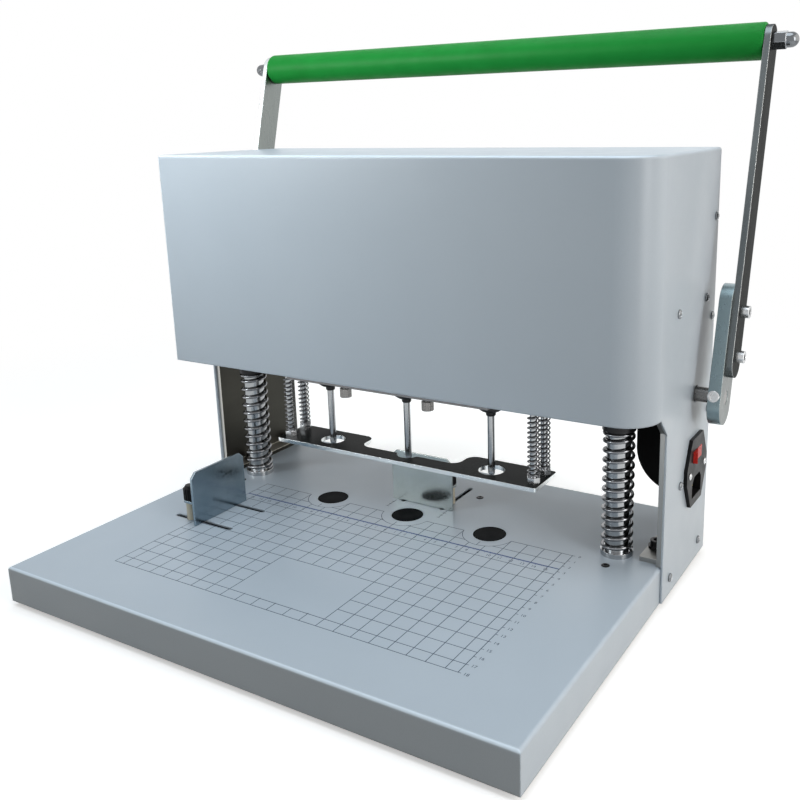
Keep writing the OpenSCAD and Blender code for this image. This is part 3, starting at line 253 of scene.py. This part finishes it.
def moulded(name, low, high, rough, grain=1800.0, strength=0.15, radius=0.0006, metallic=0.0, edge=0.25,
            shine=0.5):
    """Moulded plastic, rubber or a dark finish with a fine even grain."""
    s = Shade(name)
    cloud = s.ramp(s.noise(35.0, 4.0), [(0.3, low), (0.7, high)])
    # Sharp edges are mixed towards a lighter colour: a painted highlight.
    pale = tuple(min(1.0, c * 1.6 + 0.01) for c in high)
    s.set("Base Color", s.mix(s.edges(radius * 1.5, edge), cloud, pale))
    s.set("Metallic", metallic)
    s.set("Specular IOR Level", shine)
    s.set("Roughness", s.span(s.noise(90.0, 3.0), rough - 0.06, rough + 0.06))
    s.bump(s.noise(grain, 2.0), strength, 0.00006, s.rounded(radius))
    return s.mat


# The edge lightening and the sheared-edge colours set in the calls below are painted highlights.
paint = powder_coat("powder_coat", (0.415, 0.482, 0.550), (0.435, 0.502, 0.570), 0.34)
zinc_side = plated("zinc_plate_side", (0.23, 0.30, 0.35), (0.33, 0.40, 0.45), 0.20, grain=300.0, strength=0.03,
                   edge=0.9, edge_highlight=1.7)
zinc_rear = plated("zinc_plate_rear", (0.36, 0.40, 0.39), (0.47, 0.51, 0.50), 0.20, grain=300.0, strength=0.03,
                   edge=0.9, edge_highlight=1.5)
zinc_bright = plated("zinc_small_parts", (0.42, 0.43, 0.44), (0.54, 0.55, 0.56), 0.22, grain=900.0)
knurled = plated("knurled_steel", (0.14, 0.135, 0.13), (0.22, 0.215, 0.21), 0.26, grain=900.0, edge=0.8, edge_highlight=1.8)
presser_finish = dark_top_bright_edge_plate("presser_plate", (0.007, 0.009, 0.009), (0.78, 0.80, 0.80), (0.90, 0.92, 0.92), 0.22)
# The two side frames are one zinc plate given two dark colours, painted shade for the shade under the head, the left
# darker; their edges carry a painted highlight.
frame_right_shaded = plated("frame_right_shaded", (0.080, 0.080, 0.077), (0.110, 0.110, 0.106), 0.36, stretch=(1, 0.2, 1), edge=0.9,
                     edge_highlight=5.0, rim=0.4, sheared_edge_highlight=(0.34, 0.34, 0.33))
frame_left_shaded = plated("frame_left_shaded", (0.036, 0.035, 0.030), (0.050, 0.049, 0.042), 0.36, stretch=(1, 0.2, 1), edge=0.9,
                    edge_highlight=13.0, sheared_edge_highlight=(0.50, 0.49, 0.46))
spring_wire = plated("spring_wire", (0.17, 0.175, 0.185), (0.27, 0.275, 0.285), 0.20, grain=900.0, strength=0.04)
# The two lever arms are one plate: the right is given a dark colour, painted shade, the left a lighter one, and the
# left's sheared edges a bright painted highlight.
arm_right_shaded = plated("lever_arm_right", (0.082, 0.086, 0.085), (0.116, 0.120, 0.119), 0.30, stretch=(1, 1, 0.15),
                   edge=0.9, edge_highlight=5.0, rim=0.35, sheared_edge_highlight=(0.125, 0.140, 0.146))
arm_left_lit = plated("lever_arm_left", (0.20, 0.225, 0.22), (0.27, 0.295, 0.29), 0.30, stretch=(1, 1, 0.15), rim=0.6,
                  sheared_edge_highlight=(0.74, 0.78, 0.79))
nut_steel = plated("nut_steel", (0.13, 0.14, 0.15), (0.20, 0.21, 0.22), 0.16, grain=900.0, edge=0.9, edge_highlight=3.2)
lever_crank = plated("lever_crank", (0.140, 0.155, 0.152), (0.190, 0.206, 0.202), 0.30, stretch=(1, 1, 0.3), edge=0.9,
                     edge_highlight=1.8, sheared_edge_highlight=(0.205, 0.268, 0.290))
steel = plated("ground_steel", (0.14, 0.14, 0.145), (0.20, 0.20, 0.205), 0.38, stretch=(0.12, 1, 1))
chrome = plated("turned_chrome", (0.30, 0.31, 0.32), (0.40, 0.41, 0.42), 0.14, stretch=(0.05, 0.05, 1),
                grain=1500.0, strength=0.04)
bright = plated("bright_screw", (0.50, 0.51, 0.52), (0.60, 0.61, 0.62), 0.24, grain=1200.0)
bronze = plated("turned_bronze", (0.45, 0.30, 0.12), (0.58, 0.41, 0.18), 0.30, stretch=(1, 0.1, 0.1))
brass = plated("plated_brass", (0.68, 0.52, 0.22), (0.78, 0.62, 0.30), 0.24)
black_oxide = moulded("black_oxide", (0.010, 0.010, 0.011), (0.018, 0.018, 0.020), 0.34, metallic=0.6, edge=0.5)
black_anodised = moulded("black_anodised", (0.012, 0.012, 0.013), (0.022, 0.022, 0.024), 0.40, metallic=0.5)
black_plastic = moulded("black_plastic", (0.006, 0.006, 0.007), (0.012, 0.012, 0.013), 0.38, shine=0.10)
cream_plastic = moulded("cream_plastic", (0.50, 0.46, 0.36), (0.58, 0.54, 0.43), 0.42)
red_plastic = moulded("red_plastic", (0.42, 0.016, 0.012), (0.52, 0.024, 0.016), 0.28, strength=0.05, shine=0.12)
rubber = moulded("foot_rubber", (0.014, 0.014, 0.014), (0.026, 0.026, 0.026), 0.75, strength=0.35)
pad_plastic = moulded("pad_plastic", (0.003, 0.004, 0.005), (0.006, 0.007, 0.008), 0.65, strength=0.3, edge=0.1,
                      shine=0.05)
dull_plastic = moulded("dull_black_plastic", (0.003, 0.003, 0.003), (0.006, 0.006, 0.006), 0.65, edge=0.1, shine=0.08)
grip_green = moulded("grip_green", (0.006, 0.200, 0.026), (0.009, 0.235, 0.034), 0.48, grain=1100.0, strength=0.12,
                     radius=0.001, edge=0.1, shine=0.12)
ink = moulded("table_ink", (0.030, 0.045, 0.085), (0.050, 0.070, 0.120), 0.55, radius=0.00002, edge=0.0, shine=0.2)
ink_blue = moulded("table_ink_blue", (0.015, 0.045, 0.190), (0.025, 0.060, 0.240), 0.55, radius=0.00002, edge=0.0,
                   shine=0.2)

CAD_MATERIALS = [
    (paint, ["base_pan", "head_cover", "rear_panel"]),
    (zinc_side, ["side_gauge"]),
    (zinc_rear, ["rear_gauge"]),
    (zinc_bright, ["side_gauge_bolts", "rear_gauge_bolts", "column_nuts", "grip_rod", "column_collars", "top_beam"]),
    (nut_steel, ["grip_end_nuts"]),
    (knurled, ["head_hand_screws", "pivot_shaft"]),
    (presser_finish, ["presser_plate"]),
    (frame_left_shaded, ["left_side_frame"]),
    (frame_right_shaded, ["right_side_frame"]),
    (arm_left_lit, ["left_arm"]),
    (arm_right_shaded, ["right_arm"]),
    (lever_crank, ["left_crank", "right_crank"]),
    (steel, ["bed_plate", "head_plate", "motor_plate", "head_racks", "lever_pinions"]),
    (chrome, ["left_column", "right_column", "presser_rods", "left_bit", "centre_bit", "right_bit"]),
    (bright, ["crank_bolts", "clamp_screws", "presser_nuts"]),
    (bronze, ["shaft_bushes"]),
    (brass, ["inlet_pins"]),
    (black_oxide, ["frame_foot_bolts", "left_collet", "centre_collet", "right_collet", "guide_bushes"]),
    (black_anodised, ["drill_motors"]),
    (black_plastic, ["power_inlet", "side_knob_front", "side_knob_rear", "rear_knob_left", "rear_knob_right"]),
    (dull_plastic, ["wiring_cover"]),
    (cream_plastic, ["side_gauge_spacers", "rear_gauge_spacers"]),
    (red_plastic, ["power_switch"]),
    (rubber, ["rubber_feet"]),
    (pad_plastic, ["cutting_pads"]),
    (grip_green, ["grip"]),
]


def dress(obj, mat):
    if not obj.material_slots:
        obj.data.materials.append(mat)
    for slot in obj.material_slots:
        slot.material = mat


for mat, names in CAD_MATERIALS:
    for name in names:
        dress(nodes[name], mat)


# Pieces

def piece(name, bm, mat, body, smooth=False):
    mesh = bpy.data.meshes.new(name)
    bm.normal_update()
    bm.to_mesh(mesh)
    bm.free()
    for face in mesh.polygons:
        face.use_smooth = smooth
    obj = bpy.data.objects.new(name, mesh)
    scene.collection.objects.link(obj)
    mesh.materials.append(mat)
    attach(obj, body)
    return obj


def join_rings(bm, rings):
    """Faces between neighbouring rings of equal count."""
    for first, second in zip(rings, rings[1:]):
        for k in range(len(first)):
            n = (k + 1) % len(first)
            bm.faces.new((first[k], first[n], second[n], second[k]))


def coil_heights(curls, wire, length, steps, dead_turns):
    """Heights along a compression spring whose ends are closed over part of a turn."""
    closed = wire * 1.06
    weights = []
    for i in range(steps):
        turn = curls * (i + 0.5) / steps
        edge = min(turn, curls - turn)
        open_part = min(1.0, max(0.0, (edge - dead_turns) / 0.5))
        weights.append(open_part * open_part * (3 - 2 * open_part))
    per_step = curls / steps
    free = (length - wire - closed * curls) / (sum(weights) * per_step)
    heights = [wire / 2]
    for weight in weights:
        heights.append(heights[-1] + per_step * (closed + free * weight))
    return heights


def add_coil(bm, x, y, z0, length, mean_d, wire, curls, per_curl, sides, dead_turns):
    slope = length / (curls * math.pi * mean_d)
    rings = []
    for i, h in enumerate(coil_heights(curls, wire, length, curls * per_curl, dead_turns)):
        a = 2 * math.pi * i / per_curl
        radial = Vector((math.cos(a), math.sin(a), 0))
        along = Vector((-math.sin(a), math.cos(a), slope)).normalized()
        up = radial.cross(along).normalized()
        centre = Vector((x, y, z0 + h)) + radial * (mean_d / 2)
        ring = []
        for k in range(sides):
            b = 2 * math.pi * k / sides
            point = centre + (radial * math.cos(b) + up * math.sin(b)) * (wire / 2)
            ring.append(bm.verts.new(point * MM))
        rings.append(ring)
    join_rings(bm, rings)
    bm.faces.new(rings[0])
    bm.faces.new(list(reversed(rings[-1])))


def box_mm(node):
    low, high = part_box(node)
    return low / MM, high / MM


COLUMN_COIL = {"mean_d": 22.8, "wire": 2.7, "curls": 13, "per_curl": 48, "sides": 14, "dead_turns": 0.5}
PRESSER_COIL = {"mean_d": 9.2, "wire": 1.2, "curls": 17, "per_curl": 32, "sides": 10, "dead_turns": 0.6}

for side, name in ((-1, "left_column_spring"), (1, "right_column_spring")):
    low, high = box_mm(name)
    bm = bmesh.new()
    add_coil(bm, side * COLUMN_X, COLUMN_Y, low.z, high.z - low.z, **COLUMN_COIL)
    bmesh.ops.recalc_face_normals(bm, faces=bm.faces)
    coil = piece(name + "_coil", bm, spring_wire, "frame", smooth=True)
    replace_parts(coil, name)
    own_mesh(coil)

low, high = box_mm("presser_springs")
bm = bmesh.new()
for side in (-1, 1):
    for step in (-1, 1):
        add_coil(bm, side * ROD_X, ROD_Y + step * ROD_HALF_PITCH, low.z, high.z - low.z, **PRESSER_COIL)
bmesh.ops.recalc_face_normals(bm, faces=bm.faces)
coil = piece("presser_spring_coils", bm, spring_wire, "head", smooth=True)
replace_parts(coil, "presser_springs")
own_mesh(coil)


# Printed table: a grid of 15 mm squares with a centimetre ruler, a few hundredths proud of the paint

INK_H = 0.05
LINE_W = 0.5
CELL = 15.0
GRID_X = 159.5
ZERO_Y = DRILL_Y - 3.8
DEPTH = 180.0
RULER_Y = DRILL_Y - 29.5
RING_R = 22.8
ROW_DEPTHS = [15, 35, 50, 65, 80, 95, 110, 125, 140, 155, 170]
SLOT_X = (-184.2, -116.8)
SLOT_YS = (DRILL_Y - 95.5, DRILL_Y - 54.5)
SLOT_HALF = 3.0
BLANK_X, BLANK_Y = 45.0, (DRILL_Y - 173.0, DRILL_Y - 113.0)
RULER_HALF, RULER_LINE_W, RULER_TICK_W = 150, 1.1, 0.26
TICK_REACH = {10: 2.8, 5: 2.1, 1: 1.4}
DEPTH_TICK, DEPTH_TICK_W = 2.2, 0.4
DIGIT_SIZE = 4.2
CENTRE_MARK_X, CENTRE_MARK_YS, CENTRE_MARK_END = 27.0, (8.0, 13.0, 18.0), 23.0


def add_bar(bm, x0, y0, x1, y1):
    corners = [(x0, y0), (x1, y0), (x1, y1), (x0, y1)]
    low_ring = [bm.verts.new(Vector((x, y, BASE_TOP)) * MM) for x, y in corners]
    top_ring = [bm.verts.new(Vector((x, y, BASE_TOP + INK_H)) * MM) for x, y in corners]
    bm.faces.new(top_ring)
    join_rings(bm, [low_ring, top_ring])


def gaps_across(fixed, along_x):
    """Stretches of a line that stay unprinted: pads, slots and the bare field in front."""
    gaps = []
    for k in (-1, 0, 1):
        pad = (k * DRILL_PITCH, DRILL_Y)
        off = (fixed - pad[1]) if along_x else (fixed - pad[0])
        if abs(off) < RING_R:
            half = math.sqrt(RING_R ** 2 - off ** 2)
            mid = pad[0] if along_x else pad[1]
            gaps.append((mid - half, mid + half))
    for y in SLOT_YS:
        if along_x and abs(fixed - y) < SLOT_HALF:
            gaps.append(SLOT_X)
        if not along_x and SLOT_X[0] < fixed < SLOT_X[1]:
            gaps.append((y - SLOT_HALF, y + SLOT_HALF))
    if along_x and BLANK_Y[0] + 1 < fixed < BLANK_Y[1] - 1:
        gaps.append((-BLANK_X, BLANK_X))
    if not along_x and abs(fixed) < BLANK_X - 1:
        gaps.append(BLANK_Y)
    return sorted(gaps)


def add_line(bm, fixed, start, end, along_x, width=LINE_W):
    at = start
    for g0, g1 in gaps_across(fixed, along_x) + [(end, end)]:
        stop = min(g0, end)
        if stop - at > 0.3:
            if along_x:
                add_bar(bm, at, fixed - width / 2, stop, fixed + width / 2)
            else:
                add_bar(bm, fixed - width / 2, at, fixed + width / 2, stop)
        at = max(at, g1)


def add_arc(bm, x, y, r, a0, a1, width=LINE_W, steps=40):
    inner, outer = [], []
    for i in range(steps + 1):
        a = math.radians(a0 + (a1 - a0) * i / steps)
        for ring, rr in ((inner, r - width / 2), (outer, r + width / 2)):
            place = Vector((x + rr * math.cos(a), y + rr * math.sin(a), BASE_TOP + INK_H))
            ring.append(bm.verts.new(place * MM))
    for i in range(steps):
        bm.faces.new((inner[i], inner[i + 1], outer[i + 1], outer[i]))


bm = bmesh.new()
front_y = ZERO_Y - DEPTH
for x in [k * CELL for k in range(-10, 11)] + [-GRID_X, GRID_X]:
    add_line(bm, x, front_y, ZERO_Y, False)
for y in [ZERO_Y, front_y] + [ZERO_Y - d for d in ROW_DEPTHS]:
    add_line(bm, y, -GRID_X, GRID_X, True)
dip = math.degrees(math.asin((DRILL_Y - ZERO_Y) / RING_R))
for k in (-1, 0, 1):
    add_arc(bm, k * DRILL_PITCH, DRILL_Y, RING_R, 180 + dip, 360 - dip)
    add_bar(bm, k * DRILL_PITCH - 0.25, DRILL_Y - RING_R, k * DRILL_PITCH + 0.25, DRILL_Y - 16.5)
for mm in range(0, int(DEPTH) + 1, 10):
    y = ZERO_Y - mm
    add_bar(bm, GRID_X, y - DEPTH_TICK_W / 2, GRID_X + DEPTH_TICK, y + DEPTH_TICK_W / 2)
for x in (-CENTRE_MARK_X, CENTRE_MARK_X):
    add_bar(bm, x - 0.2, DRILL_Y + CENTRE_MARK_YS[0], x + 0.2, DRILL_Y + CENTRE_MARK_END)
    for back in CENTRE_MARK_YS:
        add_bar(bm, x - 1.6, DRILL_Y + back - 0.15, x + 1.6, DRILL_Y + back + 0.15)
bmesh.ops.recalc_face_normals(bm, faces=bm.faces)
piece("table_grid", bm, ink, "frame")

bm = bmesh.new()
add_line(bm, RULER_Y, -GRID_X, GRID_X, True, RULER_LINE_W)
for mm in range(-RULER_HALF, RULER_HALF + 1):
    reach = next(TICK_REACH[step] for step in TICK_REACH if mm % step == 0)
    add_bar(bm, mm - RULER_TICK_W / 2, RULER_Y - reach, mm + RULER_TICK_W / 2, RULER_Y - RULER_LINE_W / 2)
bmesh.ops.recalc_face_normals(bm, faces=bm.faces)
piece("table_ruler", bm, ink_blue, "frame")


def add_number(bm, text, x, y):
    curve = bpy.data.curves.new("digits", "FONT")
    curve.body = text
    curve.size = DIGIT_SIZE * MM
    curve.align_x = "CENTER"
    curve.align_y = "CENTER"
    curve.resolution_u = 3
    holder = bpy.data.objects.new("digits", curve)
    scene.collection.objects.link(holder)
    bpy.context.view_layer.update()
    mesh = bpy.data.meshes.new_from_object(holder.evaluated_get(bpy.context.evaluated_depsgraph_get()))
    mesh.transform(Matrix.Translation(Vector((x, y, BASE_TOP + INK_H)) * MM))
    bm.from_mesh(mesh)
    bpy.data.objects.remove(holder)
    bpy.data.curves.remove(curve)
    bpy.data.meshes.remove(mesh)


bm = bmesh.new()
for mm in range(-RULER_HALF, RULER_HALF + 1, 10):
    add_number(bm, str(abs(mm) // 10), mm, RULER_Y - 5.2)
for mm in range(0, int(DEPTH) + 1, 10):
    add_number(bm, str(mm // 10), GRID_X + 6.0, ZERO_Y - mm)
piece("table_numbers", bm, ink, "frame")


# Small screws in the table top

def add_lathe(bm, x, y, z, profile, segments=32):
    rings = []
    for r, h in profile:
        ring = []
        for k in range(segments):
            a = 2 * math.pi * k / segments
            ring.append(bm.verts.new(Vector((x + r * math.cos(a), y + r * math.sin(a), z + h)) * MM))
        rings.append(ring)
    join_rings(bm, rings)
    bm.faces.new(rings[-1])


TABLE_SCREWS = [(38.5, DRILL_Y + 62.6), (-38.5, DRILL_Y + 62.6), (188.4, DRILL_Y - 7.0), (-188.4, DRILL_Y - 7.0)]
SCREW_PROFILE = [(3.4, 0.0), (3.4, 0.2), (3.1, 0.45), (2.4, 0.62), (1.5, 0.7), (1.3, 0.15), (0.4, 0.05)]
bm = bmesh.new()
for x, y in TABLE_SCREWS:
    add_lathe(bm, x, y, BASE_TOP, SCREW_PROFILE)
bmesh.ops.recalc_face_normals(bm, faces=bm.faces)
piece("table_screws", bm, black_oxide, "frame", smooth=True)


# Cross-recessed screws on the sides, in the places of the CAD ones

def solid_boxes(node):
    """Lowest and highest corners of each separate solid of a CAD node, in millimetres."""
    source = bmesh.new()
    source.from_mesh(nodes[node].data)
    bmesh.ops.remove_doubles(source, verts=source.verts, dist=1e-7)
    waiting = set(source.verts)
    boxes = []
    for start in source.verts:
        if start not in waiting:
            continue
        waiting.remove(start)
        stack, found = [start], []
        while stack:
            vert = stack.pop()
            found.append(vert.co / MM)
            for edge in vert.link_edges:
                other = edge.other_vert(vert)
                if other in waiting:
                    waiting.remove(other)
                    stack.append(other)
        boxes.append((Vector([min(c[i] for c in found) for i in range(3)]),
                      Vector([max(c[i] for c in found) for i in range(3)])))
    source.free()
    return boxes


def add_pan_head(bm, box, head_h, shank_r, turn, segments=36, steps=14):
    """A domed head with a cross recess and its shank, along X and pointing away from the middle."""
    low, high = box
    out = 1 if low.x > 0 else -1
    tip, end = (high.x, low.x) if out > 0 else (low.x, high.x)
    seat = tip - out * head_h
    mid_y, mid_z = (low.y + high.y) / 2, (low.z + high.z) / 2
    radius = (high.z - low.z) / 2
    angles = [2 * math.pi * k / segments for k in range(segments)]

    def point(x, r, a):
        return bm.verts.new(Vector((x, mid_y + r * math.cos(a), mid_z + r * math.sin(a))) * MM)

    rings = []
    for i in range(1, steps + 1):
        r = radius * i / steps
        ring = []
        for a in angles:
            u, v = abs(r * math.cos(a - turn)), abs(r * math.sin(a - turn))
            h = head_h * math.sqrt(1 - 0.8 * (r / radius) ** 2)
            if min(u, v) < radius * 0.14 and max(u, v) < radius * 0.6:
                h -= head_h * 0.55 * (1 - max(u, v) / radius)
            ring.append(point(seat + out * h, r, a))
        rings.append(ring)
    for x, r in ((seat, radius), (seat, shank_r), (end, shank_r)):
        rings.append([point(x, r, a) for a in angles])
    join_rings(bm, rings)
    middle = point(seat + out * head_h * 0.45, 0.0, 0.0)
    for k in range(segments):
        bm.faces.new((middle, rings[0][k], rings[0][(k + 1) % segments]))
    bm.faces.new(rings[-1])


for name, node, mat, head_h, shank_r in (("cover_screw_heads", "cover_screws", nut_steel, 2.2, 1.9),
                                         ("inlet_screw_heads", "inlet_screws", bright, 1.6, 1.4)):
    bm = bmesh.new()
    for index, box in enumerate(solid_boxes(node)):
        add_pan_head(bm, box, head_h, shank_r, 0.9 * index)
    bmesh.ops.recalc_face_normals(bm, faces=bm.faces)
    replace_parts(piece(name, bm, mat, "frame"), node)


# Camera, solved from the photograph, for an 800 x 800 image

FOCAL_PX, CENTRE_PX = 919.176, (456.946, 341.917)
YAW, PITCH, ROLL = 0.536329, 0.238067, -0.021385
CAMERA_AT = (0.425342, -0.591485, 0.372353)
IMAGE_PX, SENSOR_MM = 800.0, 36.0

forward = Vector((-math.sin(YAW) * math.cos(PITCH), math.cos(YAW) * math.cos(PITCH), -math.sin(PITCH)))
right = Vector((math.cos(YAW), math.sin(YAW), 0))
up = right.cross(forward)
right_rolled = math.cos(ROLL) * right + math.sin(ROLL) * up
up_rolled = -math.sin(ROLL) * right + math.cos(ROLL) * up
turn = Matrix((right_rolled, up_rolled, -forward)).transposed().to_4x4()
camera_data = bpy.data.cameras.new("photo_camera")
camera_data.sensor_fit = "HORIZONTAL"
camera_data.sensor_width = SENSOR_MM
camera_data.lens = FOCAL_PX / IMAGE_PX * SENSOR_MM
camera_data.shift_x = (IMAGE_PX / 2 - CENTRE_PX[0]) / IMAGE_PX
camera_data.shift_y = (CENTRE_PX[1] - IMAGE_PX / 2) / IMAGE_PX
camera = bpy.data.objects.new("photo_camera", camera_data)
camera.matrix_world = Matrix.Translation(CAMERA_AT) @ turn
scene.collection.objects.link(camera)
scene.camera = camera


# Floor, light and background

def area_light(name, at, target, size, watts, colour, spread=180):
    data = bpy.data.lights.new(name, "AREA")
    data.shape = "RECTANGLE"
    data.size, data.size_y = size
    data.energy = watts
    data.spread = math.radians(spread)
    data.color = colour
    obj = bpy.data.objects.new(name, data)
    obj.location = at
    obj.rotation_euler = (Vector(target) - Vector(at)).to_track_quat("-Z", "Y").to_euler()
    scene.collection.objects.link(obj)


for lamp in (
        ("key_right", (1.45, 0.20, 0.75), (0.1, 0.0, 0.18), (2.6, 1.5), 15.0, (1.0, 0.92, 0.82)),
        ("edge_right", (1.15, -0.32, 0.45), (0.2, 0.0, 0.25), (0.3, 0.9), 4.0, (0.98, 0.98, 1.0)),
        ("front_left", (-0.62, -0.62, 0.52), (-0.25, 0.0, 0.42), (0.4, 0.3), 0.9, (0.93, 0.98, 1.0), 60),
        ("back_fill", (-0.50, 1.30, 1.15), (0.0, 0.1, 0.20), (1.4, 1.0), 2.0, (0.95, 0.98, 1.0)),
        ("overhead", (-0.10, -0.15, 1.95), (0.0, 0.0, 0.15), (1.5, 1.3), 17.0, (0.86, 0.94, 1.0))):
    area_light(*lamp)

# The floor takes the shadow close by, fades to white further off and is painted dark under the machine, a painted
# shade.
floor_bm = bmesh.new()
bmesh.ops.create_grid(floor_bm, x_segments=8, y_segments=8, size=14.0)
floor_mesh = bpy.data.meshes.new("floor")
floor_bm.to_mesh(floor_mesh)
floor_bm.free()
floor = bpy.data.objects.new("floor", floor_mesh)
floor.location.z = -0.0003
scene.collection.objects.link(floor)
floor_mat = bpy.data.materials.new("floor_white")
floor_mat.use_nodes = True
floor_mesh.materials.append(floor_mat)
ground = Graph(floor_mat.node_tree)
ground.tree.nodes.clear()


def diffuse(rgb):
    node = ground.node("ShaderNodeBsdfDiffuse")
    ground.feed(node.inputs["Color"], rgb)
    return node.outputs["BSDF"]


def glow(strength):
    node = ground.node("ShaderNodeEmission")
    ground.feed(node.inputs["Strength"], strength)
    return node.outputs["Emission"]


BASE_MID_Y, BASE_HALF_X, BASE_HALF_Y = -0.0239, 0.2275, 0.176
place = ground.node("ShaderNodeTexCoord").outputs["Object"]
at = ground.split(place)
across = ground.calc("SUBTRACT", ground.calc("ABSOLUTE", at["X"]), BASE_HALF_X)
off_middle = ground.calc("ABSOLUTE", ground.calc("SUBTRACT", at["Y"], BASE_MID_Y))
along = ground.calc("SUBTRACT", off_middle, BASE_HALF_Y)
outside = ground.span(ground.calc("MAXIMUM", across, along), 0.0, 1.0, (-0.030, -0.006), "SMOOTHSTEP")
length = ground.node("ShaderNodeVectorMath", operation="LENGTH")
ground.link(place, length.inputs[0])
far = ground.span(length.outputs["Value"], 0.0, 1.0, (0.55, 1.10), "SMOOTHSTEP")
shadowed = ground.node("ShaderNodeAddShader")
ground.link(diffuse((0.80, 0.80, 0.80)), shadowed.inputs[0])
ground.link(glow(0.45), shadowed.inputs[1])
near = ground.blend(far, shadowed.outputs["Shader"], glow(1.0))
# Under the machine's footprint the floor is a near-black diffuse: painted shade.
seen = ground.blend(outside, diffuse((0.02, 0.02, 0.02)), near)
ground.link(ground.blend(ground.shown(), diffuse((0.130, 0.100, 0.068)), seen),
            ground.node("ShaderNodeOutputMaterial").inputs["Surface"])

# The background is white to the eye, and a soft light with a warm foot to everything else
SOFT_LIGHT, WARM_FOOT, COOL_TOP = 0.35, (0.71, 0.55, 0.36), (0.88, 0.96, 1.0)
scene.world = bpy.data.worlds.new("studio")
scene.world.use_nodes = True
sky = Graph(scene.world.node_tree)
sky.tree.nodes.clear()


def background(colour, strength):
    node = sky.node("ShaderNodeBackground")
    sky.feed(node.inputs["Color"], colour)
    sky.feed(node.inputs["Strength"], strength)
    return node.outputs["Background"]


direction = sky.split(sky.node("ShaderNodeTexCoord").outputs["Generated"])
height = sky.span(direction["Z"], 0.0, 1.0, (-0.3, 0.9))
soft = background(sky.ramp(height, [(0.0, WARM_FOOT), (1.0, COOL_TOP)]), SOFT_LIGHT)
sky.link(sky.blend(sky.shown(), soft, background((1.0, 1.0, 1.0), 1.0)),
         sky.node("ShaderNodeOutputWorld").inputs["Surface"])

scene.view_settings.view_transform = "Standard"
